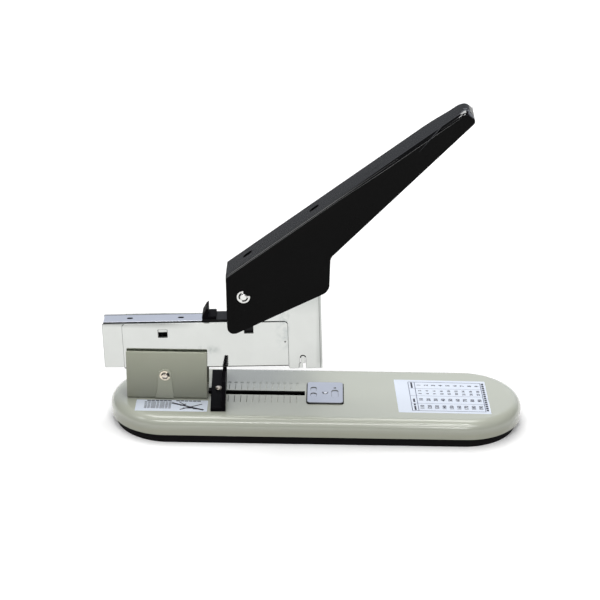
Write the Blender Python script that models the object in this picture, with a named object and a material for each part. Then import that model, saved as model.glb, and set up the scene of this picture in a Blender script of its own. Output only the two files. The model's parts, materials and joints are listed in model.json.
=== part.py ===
"""Heavy-duty desk stapler worked by hand: a long lever handle on a head that hinges at the rear of a base plate.

Metres, +Z up. The origin is the centre of the underside. +X runs along the base, from the hinge to the nose.
Head pieces are drawn level, in a frame on the hinge pin: x ahead of the pin, z above it. The frame then tilts.
Handle pieces are drawn in a frame on the handle's pivot, with x along the top of the handle.
"""

import math

import bmesh
import bpy
from mathutils import Vector

# Clearances that several pieces share
SEAT_GAP = 0.0003
SHEET_GAP = 0.00015
PIN_CLEARANCE = 0.00015
CUT_OVERRUN = 0.004

# Base
BASE_LENGTH = 0.332
BASE_WIDTH = 0.093
PAD_HEIGHT = 0.0068
PAD_INSET = 0.0004
PAD_WALL = 0.004
PAD_FLOOR = 0.0022
SHELL_HEIGHT = 0.0145
SHELL_WALL = 0.0015
SHOULDER_RADIUS = 0.008
BOSS_RADIUS = 0.004
BOSS_END_DISTANCE = 0.03
BOSS_SIDE_DISTANCE = 0.021
BASE_SCREW_RADIUS = 0.0014
BASE_SCREW_HEAD_RADIUS = 0.003
BASE_SCREW_HEAD_DEPTH = 0.0012

# Slot and paper stop
STAPLING_DISTANCE = 0.1195
SLOT_WIDTH = 0.007
SLOT_BRACKET_GAP = 0.0014
SLOT_FRONT_DEPTH = 0.0075
STOP_SLOT_MARGIN = 0.00295
STOP_BAR_WIDTH = 0.012
STOP_BAR_LENGTH = 0.0664
STOP_BAR_THICKNESS = 0.0044
STOP_FENCE_HEIGHT = 0.0266
STOP_FENCE_THICKNESS = 0.003
STOP_NOTCH_WIDTH = 0.027
STOP_NUB_LENGTH = 0.0022
STOP_NUB_HEIGHT = 0.0022
STOP_KEY_LENGTH = 0.0085
STOP_SCREW_RADIUS = 0.0019
STOP_SCREW_HEAD_RADIUS = 0.0029
STOP_SCREW_HEAD_HEIGHT = 0.0016
STOP_NUT_LENGTH = 0.011
STOP_NUT_WIDTH = 0.0125
STOP_NUT_HEIGHT = 0.0028

# Anvil
ANVIL_TURN_DEPTH = 0.00885
ANVIL_LENGTH = 0.029
ANVIL_WIDTH = 0.035
ANVIL_THICKNESS = 0.001
ANVIL_CORNER_RADIUS = 0.0025
ANVIL_STUD_RADIUS = 0.002
ANVIL_STUD_HEAD_RADIUS = 0.0034
ANVIL_STUD_HEAD_HEIGHT = 0.0005
ANVIL_POCKET_LENGTH = 0.005
ANVIL_POCKET_WIDTH = 0.0062
ANVIL_POCKET_SPACING = 0.0098
ANVIL_POCKET_DEPTH = 0.0005
ANVIL_SPRING_RADIUS = 0.0042
ANVIL_SPRING_WIRE = 0.0009
ANVIL_SPRING_HEIGHT = 0.0062
ANVIL_SPRING_TURNS = 3
ANVIL_WASHER_RADIUS = 0.0052
ANVIL_WASHER_THICKNESS = 0.001

# Head, with its layers from the middle outwards
HINGE_FROM_REAR = 0.045
HINGE_HEIGHT = 0.022
HEAD_TILT = math.radians(2.1)
HEAD_REAR = 0.0482
HEAD_FRONT = 0.126
RAIL_WIDTH = 0.0126
STAPLE_GAP = 0.0016
FRAME_PLATE = 0.0012
COVER_PLATE = 0.0008
BRACKET_CLEARANCE = 0.0017
FRAME_BOTTOM = 0.0053
FRAME_TOP = 0.0438
NOSE_BOTTOM = 0.0016
NOSE_REAR_BACK = 0.0268
NOSE_NOTCH_BACK = 0.0132
NOSE_NOTCH_LENGTH = 0.0053
NOSE_NOTCH_HEIGHT = 0.0046
COLUMN_TOP = 0.079
COLUMN_LENGTH = 0.023
LUG_RADIUS = 0.0055
FRONT_PLATE = 0.00125
COVER_REAR = 0.0325
COVER_FRONT = 0.0995
COVER_LIFT = 0.0006
COVER_CHAMFER = 0.0018
COVER_CORNER_RADIUS = 0.003
WINDOW_LENGTH = 0.007
WINDOW_HEIGHT = 0.006
REAR_WINDOW_X = 0.0
REAR_WINDOW_Z = 0.0347
FRONT_WINDOW_X = 0.0684
FRONT_WINDOW_Z = 0.0372
REAR_PLATE = 0.0012
REAR_PLATE_INSET = 0.0016

# Rail, staple core and pusher
RAIL_TOP = 0.0443
RAIL_DEPTH = 0.0083
RAIL_SHEET = 0.001
RAIL_REAR = 0.0474
RAIL_HOLE_LENGTH = 0.0048
RAIL_HOLE_WIDTH = 0.0026
RAIL_HOLE_REAR_BACK = 0.0265
RAIL_HOLE_SPACING = 0.0407
CORE_TOP = 0.0335
CORE_BOTTOM = 0.0097
CORE_WIDTH = 0.0116
CORE_SHEET = 0.001
PUSHER_REAR_X = 0.0316
PUSHER_SHEET = 0.001
PUSHER_LEG_BOTTOM = 0.02
PUSHER_TRAVEL = 0.072
KNOB_WIDTH = 0.0146
KNOB_TAB_TOP = 0.0552
KNOB_TAB_SHOULDER = 0.048
KNOB_TAB_LENGTH = 0.005
KNOB_TAB_CREST = 0.0008
KNOB_BLOCK_END = 0.011
SPRING_TAB_THICKNESS = 0.0018
SPRING_TAB_WIDTH = 0.0094
PUSHER_SPRING_RADIUS = 0.003
PUSHER_SPRING_WIRE = 0.0008
PUSHER_SPRING_TURNS = 22
ANCHOR_LENGTH = 0.005
ANCHOR_WIDTH = 0.0096
CROSS_PIN_RADIUS = 0.0018
CROSS_PIN_HEIGHT = 0.0076
CROSS_PIN_REAR_BACK = 0.038
CROSS_PIN_MIDDLE_X = 0.05
CROSS_PIN_FRONT_X = 0.103
TOP_PIN_RADIUS = 0.0025
TOP_PIN_X = 0.092
TOP_PIN_Z = 0.0735

# Rear bracket and its hinge
BRACKET_LENGTH = 0.0645
BRACKET_FRONT = 0.0336
BRACKET_HEIGHT = 0.0424
BRACKET_PLATE = 0.0018
RIB_HEIGHT = 0.0008
RIB_TOP_RADIUS = 0.0046
RIB_TOP_RISE = 0.0015
RIB_REAR_FOOT = 0.0076
RIB_FRONT_FOOT = 0.0061
RIB_FOOT_HEIGHT = 0.0012
HINGE_PIN_RADIUS = 0.0019
HINGE_CLIP_RADIUS = 0.0037
HINGE_WASHER_RADIUS = 0.004
CLIP_THICKNESS = 0.0008
CLIP_OPENING = math.radians(75)
CLIP_OPENING_DIRECTION = math.radians(50)
PIN_END = 0.0006
BRACKET_SCREW_RADIUS = 0.0019
BRACKET_SCREW_HEAD_RADIUS = 0.0035
BRACKET_SCREW_HEAD_HEIGHT = 0.002
BRACKET_SCREW_LENGTH = 0.006
BRACKET_SCREW_REAR = 0.022
BRACKET_SCREW_FRONT = 0.008
LIFT_SPRING_X = 0.022
LIFT_SPRING_RADIUS = 0.0048
LIFT_SPRING_WIRE = 0.0013
LIFT_SPRING_TURNS = 6
SPRING_SEAT_LENGTH = 0.014
SPRING_SEAT_THICKNESS = 0.0014

# Handle, from its pivot
PIVOT_X = 0.0656
PIVOT_Z = 0.0684
PIVOT_EAR_RADIUS = 0.009
HANDLE_RISE = math.radians(35.5)
HANDLE_WIDTH = 0.029
HANDLE_WALL = 0.0018
HANDLE_TOP = 0.0223
HANDLE_LENGTH = 0.23
HANDLE_EDGE_RADIUS = 0.0032
HANDLE_TIP_RADIUS = 0.0095
WEB_REAR = 0.0004
HEEL_BACK = 0.0322
HEEL_DROP = 0.0209
HEEL_RADIUS = 0.006
TOE_AHEAD = 0.0566
TOE_DROP = 0.0365
TOE_RADIUS = 0.009
ARM_ROOT_AHEAD = 0.0745
ARM_ROOT_DROP = 0.0141
ARM_ROOT_RADIUS = 0.007
ARM_TIP_RISE = 0.0113
HANDLE_HOLE_LENGTH = 0.0085
HANDLE_HOLE_WIDTH = 0.0045
HANDLE_HOLE_REAR = 0.0205
HANDLE_HOLE_SPACING = 0.0655
PIVOT_PIN_RADIUS = 0.0028
PIVOT_CLIP_RADIUS = 0.0052
PIVOT_BUSH_RADIUS = 0.0048
HANDLE_SPRING_RADIUS = 0.0039
HANDLE_SPRING_WIRE = 0.0011
HANDLE_SPRING_TURNS = 4
HANDLE_SPRING_WIDTH = 0.0085
HANDLE_SPRING_ARM = 0.01

# Drive from the handle to the blade
DRIVE_ARM_WIDTH = 0.0066
DRIVE_ARM_TOP_HALF = 0.0085
DRIVE_ARM_END_RADIUS = 0.0041
DRIVE_PIN_RADIUS = 0.0024
DRIVE_PIN_END = 0.0004
BLOCK_WIDTH = 0.0148
BLOCK_HALF_HEIGHT = 0.005
BLOCK_WALL = 0.0032
BLOCK_REAR_WALL = 0.0022
BLOCK_FRONT_WALL = 0.0012
BLADE_WIDTH = 0.0124
BLADE_THICKNESS = 0.001
BLADE_LINE_BACK = 0.0042
BLADE_TIP_ABOVE_CORE = 0.003

CROWN_SHARE = 0.7
ROUND_STEPS = 24
CORNER_STEPS = 5
SPRING_STEPS = 10

# Heights and half-widths that follow from the sizes above
BASE_TOP = PAD_HEIGHT + SEAT_GAP + SHELL_HEIGHT
HINGE_X = HINGE_FROM_REAR - BASE_LENGTH / 2
HINGE_Z = BASE_TOP + HINGE_HEIGHT
STAPLING_LINE_X = HINGE_X + STAPLING_DISTANCE
SLOT_REAR_DEPTH = STAPLING_DISTANCE - BRACKET_FRONT - SLOT_BRACKET_GAP
STOP_DEPTH = SLOT_REAR_DEPTH - STOP_SLOT_MARGIN - (STOP_KEY_LENGTH + STOP_BAR_WIDTH) / 2
RAIL_HALF = RAIL_WIDTH / 2
FRAME_INNER = RAIL_HALF + STAPLE_GAP
FRAME_OUTER = FRAME_INNER + FRAME_PLATE
COVER_INNER = FRAME_OUTER + SHEET_GAP
COVER_OUTER = COVER_INNER + COVER_PLATE
BRACKET_INNER = COVER_OUTER + BRACKET_CLEARANCE
BRACKET_OUTER = BRACKET_INNER + BRACKET_PLATE
HANDLE_OUTER = HANDLE_WIDTH / 2
HANDLE_INNER = HANDLE_OUTER - HANDLE_WALL
FRAME_FRONT = HEAD_FRONT - FRONT_PLATE - SHEET_GAP
BLADE_X = HEAD_FRONT - BLADE_LINE_BACK
BLADE_REAR = BLADE_X - BLADE_THICKNESS / 2
BLADE_FRONT = BLADE_X + BLADE_THICKNESS / 2
FEED_FRONT = BLADE_REAR - SEAT_GAP
FLOOR_Z = BASE_TOP + SEAT_GAP + BRACKET_PLATE
ANVIL_X = STAPLING_LINE_X + ANVIL_TURN_DEPTH
# The handle swings far enough to carry the blade from above the staples to the foot of the nose.
BLADE_TRAVEL = CORE_TOP + BLADE_TIP_ABOVE_CORE - NOSE_BOTTOM
DRIVE_RADIUS = FEED_FRONT - BLOCK_FRONT_WALL - SEAT_GAP - DRIVE_ARM_END_RADIUS - PIVOT_X
HANDLE_SWING = 2 * math.asin(BLADE_TRAVEL / 2 / DRIVE_RADIUS)


def clear_scene():
    for old in list(bpy.data.objects):
        bpy.data.objects.remove(old, do_unlink=True)


def make_material(name, colour, roughness, metallic):
    material = bpy.data.materials.new(name)
    material.use_nodes = True
    shader = material.node_tree.nodes["Principled BSDF"]
    shader.inputs["Base Color"].default_value = (*colour, 1)
    shader.inputs["Roughness"].default_value = roughness
    shader.inputs["Metallic"].default_value = metallic
    material.diffuse_color = (*colour, 1)
    return material


def arc(centre, radius, start, end, steps):
    """Points of an arc, from angle start to angle end, both included."""
    return [
        (
            centre[0] + radius * math.cos(start + (end - start) * i / steps),
            centre[1] + radius * math.sin(start + (end - start) * i / steps),
        )
        for i in range(steps + 1)
    ]


def circle(centre, radius, steps=ROUND_STEPS):
    return arc(centre, radius, 0, math.tau, steps)[:-1]


def rectangle(low, high):
    return [low, (high[0], low[1]), high, (low[0], high[1])]


def rounded(corners):
    """An outline from (x, y, radius) corners, with an arc at each corner that has a radius."""
    points = []
    for i, (x, y, radius) in enumerate(corners):
        corner = Vector((x, y))
        back = (Vector(corners[i - 1][:2]) - corner).normalized()
        ahead = (Vector(corners[(i + 1) % len(corners)][:2]) - corner).normalized()
        if radius == 0:
            points.append((x, y))
            continue
        half_angle = back.angle(ahead) / 2
        reach = radius / math.tan(half_angle)
        middle = corner + (back + ahead).normalized() * radius / math.sin(half_angle)
        first = corner + back * reach - middle
        turn = first.angle_signed(corner + ahead * reach - middle)
        start = math.atan2(first.y, first.x)
        points += arc(middle, radius, start, start - turn, CORNER_STEPS)
    return points


def slot_outline(centre, length, width):
    half = length / 2 - width / 2
    right = (centre[0] + half, centre[1])
    left = (centre[0] - half, centre[1])
    half_turn = math.pi / 2
    steps = ROUND_STEPS // 4
    return arc(right, width / 2, -half_turn, half_turn, steps) + arc(left, width / 2, half_turn, 3 * half_turn, steps)


def extruded(points, direction):
    """A closed mesh: the face through these points, carried along direction, with its normals outwards."""
    mesh = bmesh.new()
    face = mesh.faces.new([mesh.verts.new(point) for point in points])
    moved = bmesh.ops.extrude_face_region(mesh, geom=[face])["geom"]
    bmesh.ops.translate(mesh, vec=direction, verts=[v for v in moved if isinstance(v, bmesh.types.BMVert)])
    bmesh.ops.recalc_face_normals(mesh, faces=mesh.faces)
    return mesh


def plate_across(outline, near, far):
    """An outline in x and z, extruded along y."""
    return extruded([(x, near, z) for x, z in outline], (0, far - near, 0))


def plate_up(outline, low, high):
    """An outline in x and y, extruded along z."""
    return extruded([(x, y, low) for x, y in outline], (0, 0, high - low))


def plate_along(outline, rear, front):
    """An outline in y and z, extruded along x."""
    return extruded([(rear, y, z) for y, z in outline], (front - rear, 0, 0))


def place(name, mesh, parent=None, material=None, smooth=False):
    data = bpy.data.meshes.new(name)
    mesh.to_mesh(data)
    mesh.free()
    made = bpy.data.objects.new(name, data)
    bpy.context.scene.collection.objects.link(made)
    made.parent = parent
    if material:
        data.materials.append(material)
    if smooth:
        data.shade_smooth()
        data.set_sharp_from_angle(angle=math.radians(35))
    return made


def cutter(mesh, parent=None):
    made = place("cutter", mesh, parent)
    made.hide_render = True
    made.display_type = "WIRE"
    return made


def combine(target, operation, other):
    modifier = target.modifiers.new(operation.lower(), "BOOLEAN")
    modifier.operation = operation
    modifier.solver = "EXACT"
    modifier.object = other


def cut(target, mesh):
    combine(target, "DIFFERENCE", cutter(mesh, target.parent))


def join(target, mesh):
    combine(target, "UNION", cutter(mesh, target.parent))


def frame_empty(name, location, turn, parent=None):
    made = bpy.data.objects.new(name, None)
    bpy.context.scene.collection.objects.link(made)
    made.parent = parent
    made.location = location
    made.rotation_euler = (0, turn, 0)
    return made


def stadium(length, width, inset):
    """The base's plan: straight sides with a half circle at each end, drawn in by inset."""
    radius = width / 2 - inset
    middle = length / 2 - width / 2
    half_turn = math.pi / 2
    right = arc((middle, 0), radius, -half_turn, half_turn, ROUND_STEPS)
    return right + arc((-middle, 0), radius, half_turn, 3 * half_turn, ROUND_STEPS)


def lofted(rings):
    """A closed mesh from rings of points, each joined to the next, with the first and last ring capped."""
    mesh = bmesh.new()
    loops = [[mesh.verts.new(point) for point in ring] for ring in rings]
    for low, high in zip(loops, loops[1:]):
        for i, vertex in enumerate(low):
            after = (i + 1) % len(low)
            mesh.faces.new((vertex, low[after], high[after], high[i]))
    mesh.faces.new(loops[0])
    mesh.faces.new(loops[-1])
    bmesh.ops.recalc_face_normals(mesh, faces=mesh.faces)
    return mesh


def stadium_body(inset, low, top, shoulder):
    """The base's outer form: upright sides and a rounded shoulder."""
    rings = [(inset, low)]
    for i in range(CORNER_STEPS + 1):
        angle = math.pi / 2 * i / CORNER_STEPS
        drawn_in = shoulder * (1 - math.cos(angle))
        rings.append((inset + drawn_in, top - shoulder * (1 - math.sin(angle))))
    return lofted([[(x, y, z) for x, y in stadium(BASE_LENGTH, BASE_WIDTH, drawn)] for drawn, z in rings])


def coil_points(radius, turns, start, end):
    """A helix along z. Its last point closes the last turn."""
    count = turns * SPRING_STEPS
    return [
        Vector(
            (
                radius * math.cos(math.tau * i / SPRING_STEPS),
                radius * math.sin(math.tau * i / SPRING_STEPS),
                start + (end - start) * i / count,
            )
        )
        for i in range(count + 1)
    ]


def wire(name, points, thickness, parent, material):
    curve = bpy.data.curves.new(name, "CURVE")
    curve.dimensions = "3D"
    curve.bevel_depth = thickness / 2
    curve.bevel_resolution = 1
    curve.use_fill_caps = True
    spline = curve.splines.new("POLY")
    spline.points.add(len(points) - 1)
    for target, point in zip(spline.points, points):
        target.co = (*point, 1)
    curve.materials.append(material)
    made = bpy.data.objects.new(name, curve)
    bpy.context.scene.collection.objects.link(made)
    made.parent = parent
    return made


def report_coil_gap(name, points, thickness):
    """Prints the least gap between one turn and the next."""
    turn = SPRING_STEPS
    least = min((points[i + turn] - points[i]).length for i in range(len(points) - turn)) - thickness
    print(f"{name}: least gap between turns {least * 1000:.2f} mm")


def clip_outline(inner, outer):
    """A snap ring with an opening up and ahead."""
    start = CLIP_OPENING_DIRECTION + CLIP_OPENING / 2
    end = CLIP_OPENING_DIRECTION + math.tau - CLIP_OPENING / 2
    return arc((0, 0), outer, start, end, ROUND_STEPS) + arc((0, 0), inner, end, start, ROUND_STEPS)


def both_sides():
    return (("near", -1), ("far", 1))


def across(outline, side, inner, outer):
    """A plate on one side of the middle plane, between two distances from it."""
    return plate_across(outline, side * inner, side * outer)


def turned(profile, spot=(0, 0)):
    """A turned shape on an upright axis, from (radius, z) pairs, lowest first."""
    return lofted([[(x, y, z) for x, y in circle(spot, radius)] for radius, z in profile])


def screw_shape(shank, length, head_radius, head_height, under_head, spot=(0, 0)):
    """A screw with its head above under_head and a crowned top."""
    profile = [
        (shank, under_head - length),
        (shank, under_head),
        (head_radius, under_head),
        (head_radius, under_head + head_height / 2),
        (head_radius * CROWN_SHARE, under_head + head_height),
    ]
    return turned(profile, spot)


def make_base():
    shell = place("base_shell", stadium_body(0, PAD_HEIGHT + SEAT_GAP, BASE_TOP, SHOULDER_RADIUS), None, sage_enamel, True)
    hollow_top = BASE_TOP - SHELL_WALL
    inner_shoulder = SHOULDER_RADIUS - SHELL_WALL
    cut(shell, stadium_body(SHELL_WALL, PAD_HEIGHT - CUT_OVERRUN, hollow_top, inner_shoulder))
    boss_x = BASE_LENGTH / 2 - BOSS_END_DISTANCE
    boss_y = BASE_WIDTH / 2 - BOSS_SIDE_DISTANCE
    boss_low = PAD_FLOOR + SEAT_GAP
    places = [(x, y) for x in (-boss_x, boss_x) for y in (-boss_y, boss_y)]
    for spot in places:
        join(shell, plate_up(circle(spot, BOSS_RADIUS), boss_low, hollow_top + SHELL_WALL / 2))
    for spot in places:
        cut(shell, plate_up(circle(spot, BASE_SCREW_RADIUS + PIN_CLEARANCE), boss_low - CUT_OVERRUN, hollow_top - SHELL_WALL))
    slot_rear = STAPLING_LINE_X - SLOT_REAR_DEPTH
    slot_front = STAPLING_LINE_X - SLOT_FRONT_DEPTH
    slot = rectangle((slot_rear, -SLOT_WIDTH / 2), (slot_front, SLOT_WIDTH / 2))
    cut(shell, plate_up(slot, hollow_top - CUT_OVERRUN, BASE_TOP + CUT_OVERRUN))
    anvil_hole = circle((ANVIL_X, 0), ANVIL_STUD_RADIUS + PIN_CLEARANCE)
    cut(shell, plate_up(anvil_hole, hollow_top - CUT_OVERRUN, BASE_TOP + CUT_OVERRUN))
    for x in bracket_screw_places():
        hole = circle((x, 0), BRACKET_SCREW_RADIUS + PIN_CLEARANCE)
        cut(shell, plate_up(hole, hollow_top - CUT_OVERRUN, BASE_TOP + CUT_OVERRUN))

    pad = place("base_pad", plate_up(stadium(BASE_LENGTH, BASE_WIDTH, PAD_INSET), 0, PAD_HEIGHT), None, black_rubber, True)
    tray = stadium(BASE_LENGTH, BASE_WIDTH, PAD_INSET + PAD_WALL)
    cut(pad, plate_up(tray, PAD_FLOOR, PAD_HEIGHT + CUT_OVERRUN))
    head_seat = BASE_SCREW_HEAD_DEPTH + SEAT_GAP
    for number, spot in enumerate(places, 1):
        hole = [
            (BASE_SCREW_HEAD_RADIUS + PIN_CLEARANCE, -CUT_OVERRUN),
            (BASE_SCREW_HEAD_RADIUS + PIN_CLEARANCE, head_seat),
            (BASE_SCREW_RADIUS + PIN_CLEARANCE, head_seat),
            (BASE_SCREW_RADIUS + PIN_CLEARANCE, PAD_FLOOR + CUT_OVERRUN),
        ]
        cut(pad, turned(hole, spot))
        screw = [
            (BASE_SCREW_HEAD_RADIUS, SEAT_GAP),
            (BASE_SCREW_HEAD_RADIUS, BASE_SCREW_HEAD_DEPTH),
            (BASE_SCREW_RADIUS, BASE_SCREW_HEAD_DEPTH),
            (BASE_SCREW_RADIUS, PAD_FLOOR + SHELL_HEIGHT / 2),
        ]
        place(f"base_screw_{number}", turned(screw, spot), None, zinc_steel, True)


def bracket_screw_places():
    return (HINGE_X - BRACKET_SCREW_REAR, HINGE_X + BRACKET_SCREW_FRONT)


def make_bracket():
    """A folded channel, with a tapered rib pressed out of each cheek round the hinge pin."""
    front = HINGE_X + BRACKET_FRONT
    rear = front - BRACKET_LENGTH
    low = BASE_TOP + SEAT_GAP
    top = BASE_TOP + BRACKET_HEIGHT
    bend = BRACKET_PLATE
    section = rounded(
        [
            (-BRACKET_OUTER, top, 0),
            (-BRACKET_OUTER, low, bend),
            (BRACKET_OUTER, low, bend),
            (BRACKET_OUTER, top, 0),
            (BRACKET_INNER, top, 0),
            (BRACKET_INNER, FLOOR_Z, 0),
            (-BRACKET_INNER, FLOOR_Z, 0),
            (-BRACKET_INNER, top, 0),
        ]
    )
    bracket = place("rear_bracket", plate_along(section, rear, front), None, bracket_enamel, True)
    crown = (HINGE_X, HINGE_Z + RIB_TOP_RISE)
    foot = BASE_TOP + RIB_FOOT_HEIGHT + bend
    rib = arc(crown, RIB_TOP_RADIUS, math.pi, 0, ROUND_STEPS // 2)
    rib += [(HINGE_X + RIB_FRONT_FOOT, foot), (HINGE_X - RIB_REAR_FOOT, foot)]
    for _, side in both_sides():
        join(bracket, across(rib, side, BRACKET_OUTER - BRACKET_PLATE / 2, BRACKET_OUTER + RIB_HEIGHT))
    reach = BRACKET_OUTER + RIB_HEIGHT + CUT_OVERRUN
    pin_hole = circle((HINGE_X, HINGE_Z), HINGE_PIN_RADIUS + PIN_CLEARANCE)
    cut(bracket, plate_across(pin_hole, -reach, reach))
    for number, x in enumerate(bracket_screw_places(), 1):
        hole = circle((x, 0), BRACKET_SCREW_RADIUS + PIN_CLEARANCE)
        cut(bracket, plate_up(hole, low - CUT_OVERRUN, FLOOR_Z + CUT_OVERRUN))
        shape = screw_shape(
            BRACKET_SCREW_RADIUS,
            BRACKET_SCREW_LENGTH,
            BRACKET_SCREW_HEAD_RADIUS,
            BRACKET_SCREW_HEAD_HEIGHT,
            FLOOR_Z + SEAT_GAP,
            (x, 0),
        )
        place(f"bracket_screw_{number}", shape, None, zinc_steel, True)


def make_hinge():
    face = BRACKET_OUTER + RIB_HEIGHT
    clip_inner = face + SHEET_GAP
    clip_outer = clip_inner + CLIP_THICKNESS
    end = clip_outer + PIN_END
    hinge = frame_empty("hinge_axis", (HINGE_X, 0, HINGE_Z), 0)
    place("hinge_pin", plate_across(circle((0, 0), HINGE_PIN_RADIUS), -end, end), hinge, zinc_steel, True)
    ring = clip_outline(HINGE_PIN_RADIUS + PIN_CLEARANCE, HINGE_CLIP_RADIUS)
    hole = circle((0, 0), HINGE_PIN_RADIUS + PIN_CLEARANCE)
    for word, side in both_sides():
        place(f"hinge_clip_{word}", across(ring, side, clip_inner, clip_outer), hinge, brassed_steel, True)
        disc = across(circle((0, 0), HINGE_WASHER_RADIUS), side, FRAME_OUTER + SEAT_GAP, BRACKET_INNER - SEAT_GAP)
        washer = place(f"hinge_washer_{word}", disc, hinge, zinc_steel, True)
        cut(washer, plate_across(hole, -end, end))
    # The lift spring stands on the bracket's floor, under a seat across the head.
    seat_z = HINGE_Z + LIFT_SPRING_X * math.sin(HEAD_TILT) + (FRAME_BOTTOM - SEAT_GAP) * math.cos(HEAD_TILT)
    foot = FLOOR_Z + SEAT_GAP + LIFT_SPRING_WIRE / 2
    points = coil_points(LIFT_SPRING_RADIUS, LIFT_SPRING_TURNS, foot, seat_z - LIFT_SPRING_WIRE)
    report_coil_gap("lift_spring", points, LIFT_SPRING_WIRE)
    spring = wire("lift_spring", points, LIFT_SPRING_WIRE, None, spring_steel)
    spring.location = (HINGE_X + LIFT_SPRING_X, 0, 0)


def frame_outline():
    """One side plate of the head: hinge lug, long magazine wall, notched nose, drive column and pivot ear."""
    nose_rear = HEAD_FRONT - NOSE_REAR_BACK
    notch_front = HEAD_FRONT - NOSE_NOTCH_BACK
    notch_rear = notch_front - NOSE_NOTCH_LENGTH
    notch_top = NOSE_BOTTOM + NOSE_NOTCH_HEIGHT
    column_rear = HEAD_FRONT - COLUMN_LENGTH
    lug_steps = ROUND_STEPS // 2
    ear_steps = ROUND_STEPS // 3
    points = [(-HEAD_REAR, FRAME_BOTTOM), (-LUG_RADIUS, FRAME_BOTTOM)]
    points += arc((0, 0), LUG_RADIUS, math.pi, math.tau, lug_steps)
    points += [(LUG_RADIUS, FRAME_BOTTOM), (nose_rear, FRAME_BOTTOM), (nose_rear, NOSE_BOTTOM)]
    points += [(notch_rear, NOSE_BOTTOM), (notch_rear, notch_top), (notch_front, notch_top)]
    points += [(notch_front, NOSE_BOTTOM), (FRAME_FRONT, NOSE_BOTTOM), (FRAME_FRONT, COLUMN_TOP)]
    points += [(column_rear, COLUMN_TOP)]
    points += arc((PIVOT_X, PIVOT_Z), PIVOT_EAR_RADIUS, math.pi / 2, math.pi, ear_steps)
    points += [(PIVOT_X - PIVOT_EAR_RADIUS, FRAME_TOP), (-HEAD_REAR, FRAME_TOP)]
    return points


def make_frames(head):
    for word, side in both_sides():
        frame = place(f"frame_plate_{word}", across(frame_outline(), side, FRAME_INNER, FRAME_OUTER), head, satin_steel, True)
        pin = circle((0, 0), HINGE_PIN_RADIUS + PIN_CLEARANCE)
        cut(frame, plate_across(pin, -HANDLE_OUTER, HANDLE_OUTER))
        pivot = circle((PIVOT_X, PIVOT_Z), PIVOT_PIN_RADIUS + PIN_CLEARANCE)
        cut(frame, plate_across(pivot, -HANDLE_OUTER, HANDLE_OUTER))
        make_cover(head, word, side)
    front = rectangle((-FRAME_OUTER, NOSE_BOTTOM), (FRAME_OUTER, COLUMN_TOP))
    plate = place("front_plate", plate_along(front, HEAD_FRONT - FRONT_PLATE, HEAD_FRONT), head, satin_steel)
    guide_half = FRAME_INNER - SEAT_GAP
    guide = rectangle((-guide_half, NOSE_BOTTOM), (guide_half, FRAME_TOP))
    join(plate, plate_along(guide, BLADE_FRONT + SEAT_GAP, HEAD_FRONT - FRONT_PLATE / 2))
    rear_x = -HEAD_REAR + REAR_PLATE_INSET
    rear_top = RAIL_TOP - RAIL_DEPTH - SEAT_GAP
    rear = rectangle((-guide_half, FRAME_BOTTOM), (guide_half, rear_top))
    place("rear_plate", plate_along(rear, rear_x, rear_x + REAR_PLATE), head, satin_steel)


def make_cover(head, word, side):
    low = FRAME_BOTTOM - COVER_LIFT
    outline = rounded(
        [
            (-COVER_REAR, low, 0),
            (COVER_FRONT, low, 0),
            (COVER_FRONT, FRAME_TOP, COVER_CORNER_RADIUS),
            (-COVER_REAR + COVER_CHAMFER, FRAME_TOP, 0),
            (-COVER_REAR, FRAME_TOP - COVER_CHAMFER, 0),
        ]
    )
    cover = place(f"side_cover_{word}", across(outline, side, COVER_INNER, COVER_OUTER), head, satin_steel, True)
    for x, z in ((REAR_WINDOW_X, REAR_WINDOW_Z), (FRONT_WINDOW_X, FRONT_WINDOW_Z)):
        window = rectangle((x - WINDOW_LENGTH / 2, z - WINDOW_HEIGHT / 2), (x + WINDOW_LENGTH / 2, z + WINDOW_HEIGHT / 2))
        cut(cover, plate_across(window, -HANDLE_OUTER, HANDLE_OUTER))


def channel(half_width, low, top, sheet):
    """The section of a channel that opens downwards, in y and z."""
    inner = half_width - sheet
    return [
        (-half_width, low),
        (-half_width, top),
        (half_width, top),
        (half_width, low),
        (inner, low),
        (inner, top - sheet),
        (-inner, top - sheet),
        (-inner, low),
    ]


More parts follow.
